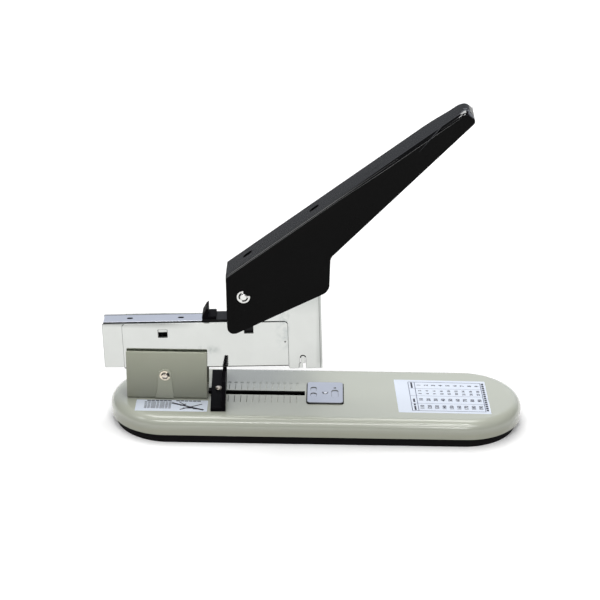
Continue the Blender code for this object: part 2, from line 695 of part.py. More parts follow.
def make_magazine(head):
    rail_section = channel(RAIL_HALF, RAIL_TOP - RAIL_DEPTH, RAIL_TOP, RAIL_SHEET)
    rail = place("top_rail", plate_along(rail_section, -RAIL_REAR, FEED_FRONT), head, bright_steel)
    for number in range(2):
        x = -RAIL_HOLE_REAR_BACK + number * RAIL_HOLE_SPACING
        hole = slot_outline((x, 0), RAIL_HOLE_LENGTH, RAIL_HOLE_WIDTH)
        cut(rail, plate_up(hole, RAIL_TOP - CUT_OVERRUN, RAIL_TOP + CUT_OVERRUN))
    core_rear = -HEAD_REAR + REAR_PLATE_INSET + REAR_PLATE + SEAT_GAP
    core_section = channel(CORE_WIDTH / 2, CORE_BOTTOM, CORE_TOP, CORE_SHEET)
    place("staple_core", plate_along(core_section, core_rear, FEED_FRONT), head, bright_steel)
    pin_half = FRAME_INNER - SHEET_GAP
    pin_places = (-CROSS_PIN_REAR_BACK, CROSS_PIN_MIDDLE_X, CROSS_PIN_FRONT_X)
    for number, x in enumerate(pin_places, 1):
        pin = circle((x, CROSS_PIN_HEIGHT), CROSS_PIN_RADIUS, ROUND_STEPS // 2)
        place(f"cross_pin_{number}", plate_across(pin, -pin_half, pin_half), head, zinc_steel, True)
    top_pin = circle((TOP_PIN_X, TOP_PIN_Z), TOP_PIN_RADIUS, ROUND_STEPS // 2)
    place("cross_pin_4", plate_across(top_pin, -pin_half, pin_half), head, zinc_steel, True)
    seat = rectangle((-pin_half, FRAME_BOTTOM), (pin_half, FRAME_BOTTOM + SPRING_SEAT_THICKNESS))
    seat_rear = LIFT_SPRING_X - SPRING_SEAT_LENGTH / 2
    place("spring_seat", plate_along(seat, seat_rear, seat_rear + SPRING_SEAT_LENGTH), head, zinc_steel)
    anchor_low = CORE_TOP + SEAT_GAP
    anchor_high = RAIL_TOP - RAIL_SHEET - SEAT_GAP
    anchor = rectangle((-ANCHOR_WIDTH / 2, anchor_low), (ANCHOR_WIDTH / 2, anchor_high))
    place("spring_anchor", plate_along(anchor, FEED_FRONT - ANCHOR_LENGTH, FEED_FRONT), head, zinc_steel)
    rear = PUSHER_REAR_X + SPRING_TAB_THICKNESS + SEAT_GAP + PUSHER_SPRING_WIRE / 2
    front = FEED_FRONT - ANCHOR_LENGTH - SEAT_GAP - PUSHER_SPRING_WIRE / 2
    points = coil_points(PUSHER_SPRING_RADIUS, PUSHER_SPRING_TURNS, rear, front)
    report_coil_gap("pusher_spring", points, PUSHER_SPRING_WIRE)
    middle = (CORE_TOP + RAIL_TOP - RAIL_SHEET) / 2
    lying = [Vector((point.z, point.y, middle + point.x)) for point in points]
    wire("pusher_spring", lying, PUSHER_SPRING_WIRE, head, spring_steel)


def make_pusher(head):
    """A saddle over the rail, with legs in the staple gaps, a tab for the spring and a thumb knob on top."""
    saddle_low = RAIL_TOP + SEAT_GAP
    saddle_top = saddle_low + PUSHER_SHEET
    leg_outer = FRAME_INNER - SEAT_GAP
    section = channel(leg_outer, PUSHER_LEG_BOTTOM, saddle_top, PUSHER_SHEET)
    saddle = place("pusher_saddle", plate_along(section, PUSHER_REAR_X, FEED_FRONT - SEAT_GAP), head, black_steel)
    bridge_low = CORE_TOP + SEAT_GAP
    bridge_high = RAIL_TOP - RAIL_DEPTH - SEAT_GAP
    tab_front = PUSHER_REAR_X + SPRING_TAB_THICKNESS
    bridge_half = leg_outer - PUSHER_SHEET / 2
    join(saddle, plate_along(rectangle((-bridge_half, bridge_low), (bridge_half, bridge_high)), PUSHER_REAR_X, tab_front))
    tab_half = SPRING_TAB_WIDTH / 2
    tab_top = RAIL_TOP - RAIL_SHEET - SEAT_GAP
    join(saddle, plate_along(rectangle((-tab_half, bridge_low), (tab_half, tab_top)), PUSHER_REAR_X, tab_front))

    low = saddle_top + SHEET_GAP
    rear = PUSHER_REAR_X
    crest_rear = rear + KNOB_TAB_LENGTH - KNOB_TAB_CREST
    profile = [
        (rear, low),
        (rear + KNOB_BLOCK_END, low),
        (rear + KNOB_BLOCK_END, KNOB_TAB_SHOULDER),
        (rear + KNOB_TAB_LENGTH, KNOB_TAB_SHOULDER),
        (rear + KNOB_TAB_LENGTH, KNOB_TAB_TOP),
        (crest_rear, KNOB_TAB_TOP),
        (rear, KNOB_TAB_SHOULDER),
    ]
    place("pusher_knob", plate_across(profile, -KNOB_WIDTH / 2, KNOB_WIDTH / 2), head, black_plastic)


def make_pivot(head):
    pivot = frame_empty("pivot_axis", (PIVOT_X, 0, PIVOT_Z), 0, head)
    clip_inner = HANDLE_OUTER + SHEET_GAP
    clip_outer = clip_inner + CLIP_THICKNESS
    end = clip_outer + PIN_END
    place("pivot_pin", plate_across(circle((0, 0), PIVOT_PIN_RADIUS), -end, end), pivot, zinc_steel, True)
    ring = clip_outline(PIVOT_PIN_RADIUS + PIN_CLEARANCE, PIVOT_CLIP_RADIUS)
    hole = circle((0, 0), PIVOT_PIN_RADIUS + PIN_CLEARANCE)
    for word, side in both_sides():
        place(f"pivot_clip_{word}", across(ring, side, clip_inner, clip_outer), pivot, zinc_steel, True)
        bush = across(circle((0, 0), PIVOT_BUSH_RADIUS), side, FRAME_OUTER + SEAT_GAP, HANDLE_INNER - SEAT_GAP)
        cut(place(f"pivot_bush_{word}", bush, pivot, zinc_steel, True), plate_across(hole, -end, end))
    half = HANDLE_SPRING_WIDTH / 2
    coil = coil_points(HANDLE_SPRING_RADIUS, HANDLE_SPRING_TURNS, -half, half)
    report_coil_gap("handle_spring", coil, HANDLE_SPRING_WIRE)
    lying = [Vector((point.x, point.z, point.y)) for point in coil]
    arm = Vector((0, 0, HANDLE_SPRING_ARM))
    wire("handle_spring", [lying[0] - arm, *lying, lying[-1] + arm], HANDLE_SPRING_WIRE, pivot, spring_steel)


def handle_block(inset, low, top, radius):
    """The handle's full form before its lower edge is cut: straight sides, a rounded tip and a rounded top edge."""
    half = HANDLE_OUTER - inset
    tip = HANDLE_LENGTH - inset
    rear = -HEEL_BACK - TOE_DROP
    rings = [(0, low)]
    for i in range(CORNER_STEPS):
        angle = math.pi / 2 * i / (CORNER_STEPS - 1)
        rings.append((radius * (1 - math.cos(angle)), top - radius * (1 - math.sin(angle))))
    outlines = []
    for drawn, z in rings:
        bend = HANDLE_TIP_RADIUS - inset - drawn
        corners = [
            (rear, -half + drawn, 0),
            (tip - drawn, -half + drawn, bend),
            (tip - drawn, half - drawn, bend),
            (rear, half - drawn, 0),
        ]
        outlines.append([(x, y, z) for x, y in rounded(corners)])
    return lofted(outlines)


def make_handle(head):
    handle = frame_empty("handle_axis", (PIVOT_X, 0, PIVOT_Z), -HANDLE_RISE, head)
    low = -TOE_DROP - CUT_OVERRUN
    shell = place("handle_shell", handle_block(0, low, HANDLE_TOP, HANDLE_EDGE_RADIUS), handle, black_enamel, True)
    inner_top = HANDLE_TOP - HANDLE_WALL
    inner_radius = HANDLE_EDGE_RADIUS - HANDLE_WALL
    cut(shell, handle_block(HANDLE_WALL, low - CUT_OVERRUN, inner_top, inner_radius))
    above = HANDLE_TOP + CUT_OVERRUN
    ahead = HANDLE_LENGTH + CUT_OVERRUN
    heel_slope = (HEEL_BACK - WEB_REAR) / (HANDLE_TOP + HEEL_DROP)
    side_view = rounded(
        [
            (-WEB_REAR + CUT_OVERRUN * heel_slope, above, 0),
            (-HEEL_BACK, -HEEL_DROP, HEEL_RADIUS),
            (TOE_AHEAD, -TOE_DROP, TOE_RADIUS),
            (ARM_ROOT_AHEAD, -ARM_ROOT_DROP, ARM_ROOT_RADIUS),
            (ahead, ARM_TIP_RISE, 0),
            (ahead, above, 0),
        ]
    )
    combine(shell, "INTERSECT", cutter(plate_across(side_view, -HANDLE_WIDTH, HANDLE_WIDTH), handle))
    pin = circle((0, 0), PIVOT_PIN_RADIUS + PIN_CLEARANCE)
    cut(shell, plate_across(pin, -HANDLE_WIDTH, HANDLE_WIDTH))
    for number in range(2):
        x = HANDLE_HOLE_REAR + number * HANDLE_HOLE_SPACING
        hole = slot_outline((x, 0), HANDLE_HOLE_LENGTH, HANDLE_HOLE_WIDTH)
        cut(shell, plate_up(hole, inner_top - CUT_OVERRUN, above))

    # The drive arm hangs inside the handle, between the side plates, and carries the drive pin.
    pin_angle = HANDLE_SWING / 2 - HANDLE_RISE
    pin_x = DRIVE_RADIUS * math.cos(pin_angle)
    pin_z = DRIVE_RADIUS * math.sin(pin_angle)
    arm_top = inner_top - SEAT_GAP
    outline = arc((pin_x, pin_z), DRIVE_ARM_END_RADIUS, math.pi, math.tau, ROUND_STEPS // 2)
    outline += [(pin_x + DRIVE_ARM_TOP_HALF, arm_top), (pin_x - DRIVE_ARM_TOP_HALF, arm_top)]
    arm = place("drive_arm", plate_across(outline, -DRIVE_ARM_WIDTH / 2, DRIVE_ARM_WIDTH / 2), handle, zinc_steel)
    hole = circle((pin_x, pin_z), DRIVE_PIN_RADIUS + PIN_CLEARANCE)
    cut(arm, plate_across(hole, -HANDLE_OUTER, HANDLE_OUTER))
    pin_half = BLOCK_WIDTH / 2 - DRIVE_PIN_END
    drive = plate_across(circle((pin_x, pin_z), DRIVE_PIN_RADIUS), -pin_half, pin_half)
    place("drive_pin", drive, handle, zinc_steel, True)


def make_driver(head):
    """The fork that the drive pin pushes down, and the blade that it carries along the front plate."""
    half_swing = HANDLE_SWING / 2
    pin_x = PIVOT_X + DRIVE_RADIUS * math.cos(half_swing)
    pin_z = PIVOT_Z + DRIVE_RADIUS * math.sin(half_swing)
    furthest = PIVOT_X + DRIVE_RADIUS
    slot_reach = DRIVE_PIN_RADIUS + SEAT_GAP
    low = pin_z - BLOCK_HALF_HEIGHT
    high = pin_z + BLOCK_HALF_HEIGHT
    rear = pin_x - slot_reach - BLOCK_REAR_WALL
    half = BLOCK_WIDTH / 2
    block = place("driver_block", plate_across(rectangle((rear, low), (FEED_FRONT, high)), -half, half), head, zinc_steel)
    gap_half = half - BLOCK_WALL
    gap_front = FEED_FRONT - BLOCK_FRONT_WALL
    throat = rectangle((-gap_half, low - CUT_OVERRUN), (gap_half, high + CUT_OVERRUN))
    cut(block, plate_along(throat, rear - CUT_OVERRUN, gap_front))
    slot = rectangle((pin_x - slot_reach, pin_z - slot_reach), (furthest + slot_reach, pin_z + slot_reach))
    cut(block, plate_across(slot, -HANDLE_OUTER, HANDLE_OUTER))
    blade = rectangle((-BLADE_WIDTH / 2, CORE_TOP + BLADE_TIP_ABOVE_CORE), (BLADE_WIDTH / 2, high))
    place("driver_blade", plate_along(blade, BLADE_REAR, BLADE_FRONT), head, bright_steel)


def make_stop():
    """The paper stop: a bar across the base with an upright fence on its front edge, clamped through the slot."""
    stop = frame_empty("stop_slide", (STAPLING_LINE_X - STOP_DEPTH, 0, BASE_TOP), 0)
    half = STOP_BAR_LENGTH / 2
    low = SEAT_GAP
    bar_top = low + STOP_BAR_THICKNESS
    middle = -STOP_BAR_WIDTH / 2
    bar = place("paper_stop", plate_up(rectangle((-STOP_BAR_WIDTH, -half), (0, half)), low, bar_top), stop, black_plastic)
    for _, side in both_sides():
        inner = STOP_NOTCH_WIDTH / 2
        ends = sorted((side * inner, side * half))
        fence = rectangle((-STOP_FENCE_THICKNESS, ends[0]), (0, ends[1]))
        join(bar, plate_up(fence, bar_top - STOP_BAR_THICKNESS / 2, low + STOP_FENCE_HEIGHT))
    key_half = SLOT_WIDTH / 2 - SEAT_GAP
    key = rectangle((middle - STOP_KEY_LENGTH / 2, -key_half), (middle + STOP_KEY_LENGTH / 2, key_half))
    join(bar, plate_up(key, -SHELL_WALL, bar_top - STOP_BAR_THICKNESS / 2))
    nub = rectangle((-STOP_BAR_WIDTH - STOP_NUB_LENGTH, -key_half), (middle, key_half))
    join(bar, plate_up(nub, low, low + STOP_NUB_HEIGHT))
    shank_hole = circle((middle, 0), STOP_SCREW_RADIUS + PIN_CLEARANCE)
    cut(bar, plate_up(shank_hole, -SHELL_WALL - CUT_OVERRUN, bar_top + CUT_OVERRUN))
    nut_top = -SHELL_WALL - SEAT_GAP
    nut_low = nut_top - STOP_NUT_HEIGHT
    nut_plan = rectangle(
        (middle - STOP_NUT_LENGTH / 2, -STOP_NUT_WIDTH / 2), (middle + STOP_NUT_LENGTH / 2, STOP_NUT_WIDTH / 2)
    )
    nut = place("stop_nut", plate_up(nut_plan, nut_low, nut_top), stop, zinc_steel)
    cut(nut, plate_up(shank_hole, nut_low - CUT_OVERRUN, nut_top + CUT_OVERRUN))
    under_head = bar_top + SHEET_GAP
    length = under_head - nut_low
    screw = screw_shape(
        STOP_SCREW_RADIUS, length, STOP_SCREW_HEAD_RADIUS, STOP_SCREW_HEAD_HEIGHT, under_head, (middle, 0)
    )
    place("stop_screw", screw, stop, zinc_steel, True)


def make_anvil():
    """A plate with clinching pockets near both ends, turned half round on its stud to change the clinch."""
    anvil = frame_empty("anvil_axis", (ANVIL_X, 0, BASE_TOP), 0)
    low = SEAT_GAP
    top = low + ANVIL_THICKNESS
    half_x = ANVIL_LENGTH / 2
    half_y = ANVIL_WIDTH / 2
    bend = ANVIL_CORNER_RADIUS
    plan = rounded([(-half_x, -half_y, bend), (half_x, -half_y, bend), (half_x, half_y, bend), (-half_x, half_y, bend)])
    plate = place("anvil_plate", plate_up(plan, low, top), anvil, satin_steel, True)
    floor = top - ANVIL_POCKET_DEPTH
    for x in (STAPLING_LINE_X - ANVIL_X, ANVIL_X - STAPLING_LINE_X):
        for y in (-ANVIL_POCKET_SPACING / 2, ANVIL_POCKET_SPACING / 2):
            pocket = slot_outline((y, x), ANVIL_POCKET_WIDTH, ANVIL_POCKET_LENGTH)
            cut(plate, plate_up([(px, py) for py, px in pocket][::-1], floor, top + CUT_OVERRUN))
    hole = circle((0, 0), ANVIL_STUD_RADIUS + PIN_CLEARANCE)
    cut(plate, plate_up(hole, low - CUT_OVERRUN, top + CUT_OVERRUN))
    under_head = top + SHEET_GAP
    spring_top = -SHELL_WALL - SEAT_GAP
    washer_top = spring_top - ANVIL_SPRING_HEIGHT
    stud_length = under_head - washer_top + ANVIL_WASHER_THICKNESS
    stud = screw_shape(ANVIL_STUD_RADIUS, stud_length, ANVIL_STUD_HEAD_RADIUS, ANVIL_STUD_HEAD_HEIGHT, under_head)
    place("anvil_stud", stud, anvil, bright_steel, True)
    washer_plan = circle((0, 0), ANVIL_WASHER_RADIUS)
    washer = place("anvil_washer", plate_up(washer_plan, washer_top - ANVIL_WASHER_THICKNESS, washer_top), anvil, zinc_steel, True)
    cut(washer, plate_up(hole, washer_top - CUT_OVERRUN, washer_top + CUT_OVERRUN))
    half_wire = ANVIL_SPRING_WIRE / 2
    points = coil_points(
        ANVIL_SPRING_RADIUS, ANVIL_SPRING_TURNS, washer_top + SEAT_GAP + half_wire, spring_top - half_wire
    )
    report_coil_gap("anvil_spring", points, ANVIL_SPRING_WIRE)
    wire("anvil_spring", points, ANVIL_SPRING_WIRE, anvil, spring_steel)


clear_scene()

sage_enamel = make_material("sage_enamel", (0.42, 0.43, 0.36), 0.35, 0)
bracket_enamel = make_material("bracket_enamel", (0.16, 0.17, 0.12), 0.4, 0)
black_enamel = make_material("black_enamel", (0.01, 0.01, 0.011), 0.3, 0)
black_rubber = make_material("black_rubber", (0.01, 0.01, 0.01), 0.7, 0)
black_plastic = make_material("black_plastic", (0.012, 0.012, 0.013), 0.45, 0)
black_steel = make_material("black_steel", (0.02, 0.02, 0.02), 0.4, 1)
satin_steel = make_material("satin_steel", (0.62, 0.63, 0.62), 0.35, 1)
bright_steel = make_material("bright_steel", (0.66, 0.67, 0.7), 0.22, 1)
zinc_steel = make_material("zinc_steel", (0.6, 0.6, 0.58), 0.35, 1)
spring_steel = make_material("spring_steel", (0.3, 0.3, 0.32), 0.3, 1)
brassed_steel = make_material("brassed_steel", (0.62, 0.5, 0.34), 0.35, 1)

make_base()
make_bracket()
make_hinge()
head_axis = frame_empty("head_axis", (HINGE_X, 0, HINGE_Z), -HEAD_TILT)
make_frames(head_axis)
make_magazine(head_axis)
make_pusher(head_axis)
make_pivot(head_axis)
make_handle(head_axis)
make_driver(head_axis)
make_stop()
make_anvil()
bpy.context.view_layer.update()
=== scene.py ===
# Heavy-duty desk stapler, worked by hand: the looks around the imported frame.
# Pieces are drawn in millimetres beside the part that carries them, then placed in metres.
import json
from math import atan2, copysign, cos, pi, radians, sin, tan, tau

import bmesh
import bpy
from mathutils import Matrix, Vector


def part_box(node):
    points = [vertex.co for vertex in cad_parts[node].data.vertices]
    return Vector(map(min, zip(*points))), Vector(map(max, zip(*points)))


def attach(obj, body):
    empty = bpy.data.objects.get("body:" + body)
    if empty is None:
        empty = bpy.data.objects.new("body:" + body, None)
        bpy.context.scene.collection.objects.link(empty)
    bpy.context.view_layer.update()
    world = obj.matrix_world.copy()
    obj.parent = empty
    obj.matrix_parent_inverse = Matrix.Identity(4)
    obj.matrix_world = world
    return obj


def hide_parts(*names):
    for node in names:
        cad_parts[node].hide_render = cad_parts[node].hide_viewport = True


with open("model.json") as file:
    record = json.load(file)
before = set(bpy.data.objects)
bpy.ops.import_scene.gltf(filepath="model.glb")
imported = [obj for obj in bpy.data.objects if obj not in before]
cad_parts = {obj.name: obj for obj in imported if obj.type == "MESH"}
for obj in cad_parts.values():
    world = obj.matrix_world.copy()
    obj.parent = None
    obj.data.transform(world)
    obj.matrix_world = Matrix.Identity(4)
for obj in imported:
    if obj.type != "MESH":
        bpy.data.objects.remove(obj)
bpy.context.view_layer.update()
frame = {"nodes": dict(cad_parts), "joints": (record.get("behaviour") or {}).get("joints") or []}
nodes = frame["nodes"]
print("frame loaded:", len(nodes), "nodes")

joints = {joint["name"]: joint for joint in frame["joints"]}
hinge = Vector(joints["head_hinge"]["pos_m"])
pivot = Vector(joints["handle_pivot"]["pos_m"])
anvilAxis = Vector(joints["anvil_turn"]["pos_m"])
driverWay = Vector(joints["driver_slide"]["axis"])
headTilt = atan2(driverWay.x, -driverWay.z)
handleRise = radians(35.5)

# where each group of pieces is drawn: millimetres, from its own origin
toMetres = Matrix.Scale(0.001, 4)
baseSpot = toMetres
topSpot = Matrix.Translation((0, 0, anvilAxis.z)) @ toMetres
headSpot = Matrix.Translation(hinge) @ Matrix.Rotation(-headTilt, 4, "Y") @ toMetres
pivotSpot = Matrix.Translation(pivot) @ Matrix.Rotation(-headTilt, 4, "Y") @ toMetres
handleSpot = Matrix.Translation(pivot) @ Matrix.Rotation(-headTilt - handleRise, 4, "Y") @ toMetres
hingeSpot = Matrix.Translation(hinge) @ toMetres
anvilSpot = Matrix.Translation(anvilAxis) @ toMetres
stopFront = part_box("paper_stop")[1].x
# the stop stands a little askew in its slot, by the play that it has there
askew = Matrix.Rotation(radians(1.9), 4, "Z")
stopSpot = Matrix.Translation((stopFront, 0, anvilAxis.z)) @ askew @ toMetres

# a flat outline stood up in x and z, its height turned into distance from the middle plane
uprightNear = Matrix.Rotation(radians(90), 4, "X")
uprightFar = Matrix.Scale(-1, 4, (0, 1, 0)) @ uprightNear
sides = {"near": uprightNear, "far": uprightFar}
# the same stood up in y and z, its height turned into distance along x
crossways = Matrix(((0, 0, 1, 0), (1, 0, 0, 0), (0, 1, 0, 0), (0, 0, 0, 1)))


def arcSteps(radius):
    return max(4, min(40, round(radius * 1.1) + 4))


def bevelled(bm, geom, size, segments, affect="EDGES", clamp=False):
    bmesh.ops.bevel(
        bm, geom=geom, offset=size, offset_type="OFFSET", segments=segments, profile=0.5, material=-1,
        affect=affect, clamp_overlap=clamp,
    )


def faceOut(bm):
    bmesh.ops.recalc_face_normals(bm, faces=bm.faces)


def dropFaces(bm, faces):
    bmesh.ops.delete(bm, geom=faces, context="FACES_ONLY")


def moveUp(bm, height, verts=None):
    bmesh.ops.translate(bm, vec=(0, 0, height), verts=verts or bm.verts)


def vertsOf(geom):
    return [item for item in geom if isinstance(item, bmesh.types.BMVert)]


def asMesh(bm, name):
    mesh = bpy.data.meshes.new(name)
    bm.to_mesh(mesh)
    bm.free()
    return mesh


def placed(name, data):
    item = bpy.data.objects.new(name, data)
    bpy.context.scene.collection.objects.link(item)
    return item


def rectangle(x0, y0, x1, y1, low=0.0, high=None):
    # four (x, y, radius) corners; the upper pair may have a radius of its own
    high = low if high is None else high
    return [(x0, y0, low), (x1, y0, low), (x1, y1, high), (x0, y1, high)]


def roundSlot(x, long, wide):
    # a slot with round ends, from its middle and half its length and width
    return rectangle(x - long, -wide, x + long, wide, wide - 0.01)


def addLoop(bm, corners):
    # a closed flat loop through (x, y, radius) corners; returns its edges
    points = [Vector(corner[:2]) for corner in corners]
    verts = [bm.verts.new((*point, 0)) for point in points]
    bm.faces.new(verts)
    for i, (x, y, radius) in enumerate(corners):
        if radius:
            back = points[i - 1] - points[i]
            ahead = points[(i + 1) % len(points)] - points[i]
            reach = radius / tan(back.angle(ahead) / 2)
            bevelled(bm, [verts[i]], reach, arcSteps(radius), "VERTICES")
    face = bm.faces[:][0]
    bmesh.ops.remove_doubles(bm, verts=list(face.verts), dist=0.03)
    face = bm.faces[:][0]
    edges = list(face.edges)
    dropFaces(bm, [face])
    return edges


def addCircle(bm, x, y, radius):
    ring = bmesh.ops.create_circle(
        bm, cap_ends=False, segments=max(12, 4 * arcSteps(radius)), radius=radius,
        matrix=Matrix.Translation((x, y, 0)),
    )
    return list({edge for vert in ring["verts"] for edge in vert.link_edges})


def fillFlat(bm, edges):
    # fills between flat loops, with every face turned up
    filled = bmesh.ops.triangle_fill(bm, use_beauty=True, edges=edges)["geom"]
    faces = [item for item in filled if isinstance(item, bmesh.types.BMFace)]
    for face in faces:
        if face.normal.z < 0:
            face.normal_flip()
    return faces


def fillSheet(bm, outline, holes=(), circles=()):
    edges = addLoop(bm, outline)
    for hole in holes:
        edges += addLoop(bm, hole)
    for x, y, radius in circles:
        edges += addCircle(bm, x, y, radius)
    return fillFlat(bm, edges)


def pullUp(bm, faces, height):
    moveUp(bm, height, vertsOf(bmesh.ops.extrude_face_region(bm, geom=faces)["geom"]))


def cutAcross(bm, spot, way):
    bmesh.ops.bisect_plane(bm, geom=bm.verts[:] + bm.edges[:] + bm.faces[:], plane_co=spot, plane_no=way)


def largest(faces):
    return max(faces, key=lambda face: face.calc_area())


def capFaces(bm, height):
    return [
        face for face in bm.faces
        if abs(face.normal.z) > 0.99 and abs(face.calc_center_median().z - height) < 0.001
    ]


def roundRim(bm, faces, size):
    # two narrow insets give a flat face a rounded rim of this size
    for inward, outward in ((0.293, 0.707), (0.707, 0.293)):
        bmesh.ops.inset_region(
            bm, faces=faces, thickness=size * inward, depth=size * outward,
            use_even_offset=True, use_boundary=True,
        )


def cutSheet(outline, low, high, holes=(), circles=(), rounding=0.15):
    # a flat plate between two heights, with holes and with rounded edges on both faces
    own = bmesh.new()
    faces = fillSheet(own, outline, holes, circles)
    moveUp(own, low + rounding)
    pullUp(own, faces, high - low - 2 * rounding)
    faceOut(own)
    if rounding:
        for height in (high - rounding, low + rounding):
            roundRim(own, capFaces(own, height), rounding)
    return own


def box(low, high, rounding=0.0, segments=3):
    own = bmesh.new()
    bmesh.ops.create_cube(own, size=1)
    size = Vector(high) - Vector(low)
    bmesh.ops.scale(own, vec=size, verts=own.verts)
    bmesh.ops.translate(own, vec=(Vector(low) + Vector(high)) / 2, verts=own.verts)
    if rounding:
        roundEdges(own, rounding, segments)
    return own


def roundEdges(bm, size, segments=3, least=30, keep=None):
    edges = [
        edge for edge in bm.edges
        if len(edge.link_faces) == 2 and edge.calc_face_angle() > radians(least)
        and (keep is None or keep(edge))
    ]
    bevelled(bm, edges, size, segments, clamp=True)


def turned(profile, steps=40):
    # (radius, height) pairs spun round the upright axis
    own = bmesh.new()
    verts = [own.verts.new((radius, 0, height)) for radius, height in profile]
    edges = [own.edges.new(pair) for pair in zip(verts, verts[1:])]
    bmesh.ops.spin(
        own, geom=verts + edges, cent=(0, 0, 0), axis=(0, 0, 1), angle=tau,
        steps=steps, use_merge=True,
    )
    bmesh.ops.remove_doubles(own, verts=own.verts, dist=0.0005)
    faceOut(own)
    return own


def addTo(target, source):
    # moves one bmesh into another
    mesh = asMesh(source, "part")
    target.from_mesh(mesh)
    bpy.data.meshes.remove(mesh)


def cutTop(bm, top, height, holes):
    # fills a flat top again round the holes in it
    ring = list(top.edges)
    dropFaces(bm, [top])
    loops = bmesh.new()
    for hole in holes:
        addLoop(loops, hole)
    moveUp(loops, height)
    known = set(bm.edges)
    addTo(bm, loops)
    fillFlat(bm, ring + [edge for edge in bm.edges if edge not in known])


def cutEdges(normal):
    # all of a sheet but its outer face: the sheared edges and the side turned to the middle plane
    return normal.z < 0.95


def lowerEdges(normal):
    # only a sheet's rims, and not the upper one
    return abs(normal.z) < 0.95 and normal.y < 0.5


def finishPiece(
    bm, name, spot, body, material, replaced=(), sharp=35, edges=None, where=cutEdges, slot=None
):
    # places the mesh, shades it and hands it to the frame
    # edges is the finish of the faces that where picks; seams sharper than sharp degrees stay crisp
    if edges:
        bm.normal_update()
        for face in bm.faces:
            face.material_index = int(where(face.normal))
    bm.transform(spot)
    if spot.determinant() < 0:
        faceOut(bm)
    # rims count as sharp, so that a wall given later keeps a crisp edge
    for face in bm.faces:
        face.smooth = True
    for edge in bm.edges:
        edge.smooth = len(edge.link_faces) == 2 and edge.calc_face_angle(0) < radians(sharp)
    mesh = asMesh(bm, name)
    mesh.materials.append(material)
    if edges:
        mesh.materials.append(edges)
    piece = placed(name, mesh)
    if sharp < 180:
        weighted = piece.modifiers.new("evenShade", "WEIGHTED_NORMAL")
        weighted.keep_sharp = True
        weighted.weight = 80
    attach(piece, body)
    if replaced:
        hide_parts(*replaced)
    slot = slot or slotOf[material.name]
    return piece


def giveWall(piece, thickness, rim=0):
    # thickens a shell inwards; rim picks the finish of its edges
    wall = piece.modifiers.new("wall", "SOLIDIFY")
    wall.thickness = thickness / 1000
    wall.offset = -1
    wall.use_even_offset = True
    wall.material_offset_rim = rim
    piece.modifiers.move(1, 0)


def linear(hexColour):
    parts = [int(hexColour[i:i + 2], 16) / 255 for i in (1, 3, 5)]
    return (*[p / 12.92 if p <= 0.04045 else ((p + 0.055) / 1.055) ** 2.4 for p in parts], 1)


def addNode(tree, kind, values=None, links=None):
    node = tree.nodes.new("ShaderNode" + kind)
    for key, value in (values or {}).items():
        if isinstance(key, str) and hasattr(node, key):
            setattr(node, key, value)
        else:
            node.inputs[key].default_value = value
    for key, source in (links or {}).items():
        tree.links.new(source, node.inputs[key])
    return node


def cloudy(tree, coords, size, detail, roughness):
    # noise whose patches are about size millimetres across
    values = {"Scale": 1000 / size, "Detail": detail, "Roughness": roughness}
    return addNode(tree, "TexNoise", values, {"Vector": coords}).outputs["Fac"]


def ramped(tree, value, start, full, low=0.0, high=1.0):
    # low to high while value goes from start to full
    values = {"From Min": start, "From Max": full, "To Min": low, "To Max": high}
    return addNode(tree, "MapRange", values, {"Value": value}).outputs["Result"]


def joined(tree, first, second, operation="MULTIPLY"):
    return addNode(tree, "Math", {"operation": operation}, {0: first, 1: second}).outputs[0]


def addTint(tree, under, coords, shade, ramps, cloud=0):
    # a second shade over part of a piece, ramped in along its axes and broken up by cloud
    split = addNode(tree, "SeparateXYZ", None, {"Vector": coords})
    share = None
    for axis, start, full in ramps:
        ramp = ramped(tree, split.outputs[axis], start / 1000, full / 1000)
        share = joined(tree, share, ramp) if share else ramp
    if cloud:
        share = joined(tree, share, ramped(tree, cloudy(tree, coords, cloud, 4, 0.65), 0.42, 0.66))
    mix = addNode(tree, "Mix", {"data_type": "RGBA", 7: linear(shade)}, {0: share, 6: under})
    return mix.outputs[2]


# the slot of the record that each finish belongs to
slotOf = {}


def makeFinish(name, slot, look):
    # one surface: two close shades in patches, roughness that drifts, and a fine relief
    # patch and grain are in millimetres; each tint is a shade, its ramps and the size of its cloud
    slotOf[name] = slot
    material = bpy.data.materials.new(name)
    material.use_nodes = True
    tree = material.node_tree
    shader = tree.nodes["Principled BSDF"]
    coords = addNode(tree, "TexCoord").outputs["Object"]
    stretched = addNode(
        tree, "Mapping", {"Scale": look.get("stretch", (1, 1, 1))}, {"Vector": coords}
    ).outputs["Vector"]
    patches = cloudy(tree, coords, look["patch"], 3, 0.55)
    shades = addNode(tree, "ValToRGB", None, {"Fac": patches})
    shades.color_ramp.interpolation = "EASE"
    for step, place, shade in zip(shades.color_ramp.elements, (0.2, 0.8), look["shades"]):
        step.position = place
        step.color = linear(shade)
    colour = shades.outputs["Color"]
    for tint in look.get("tints", ()):
        colour = addTint(tree, colour, coords, *tint)
    tree.links.new(colour, shader.inputs["Base Color"])
    grain = cloudy(tree, stretched, look["grain"], 4, 0.6)
    tree.links.new(ramped(tree, patches, 0.2, 0.8, *look["rough"]), shader.inputs["Roughness"])
    relief = addNode(
        tree, "Bump", {"Strength": look["relief"][0], "Distance": look["relief"][1] / 1000},
        {"Height": grain},
    )
    tree.links.new(relief.outputs["Normal"], shader.inputs["Normal"])
    for socket, value in look.get("sockets", {}).items():
        shader.inputs[socket].default_value = value
    material.diffuse_color = linear(look["shades"][0])
    return material


metal = {"Metallic": 1.0}
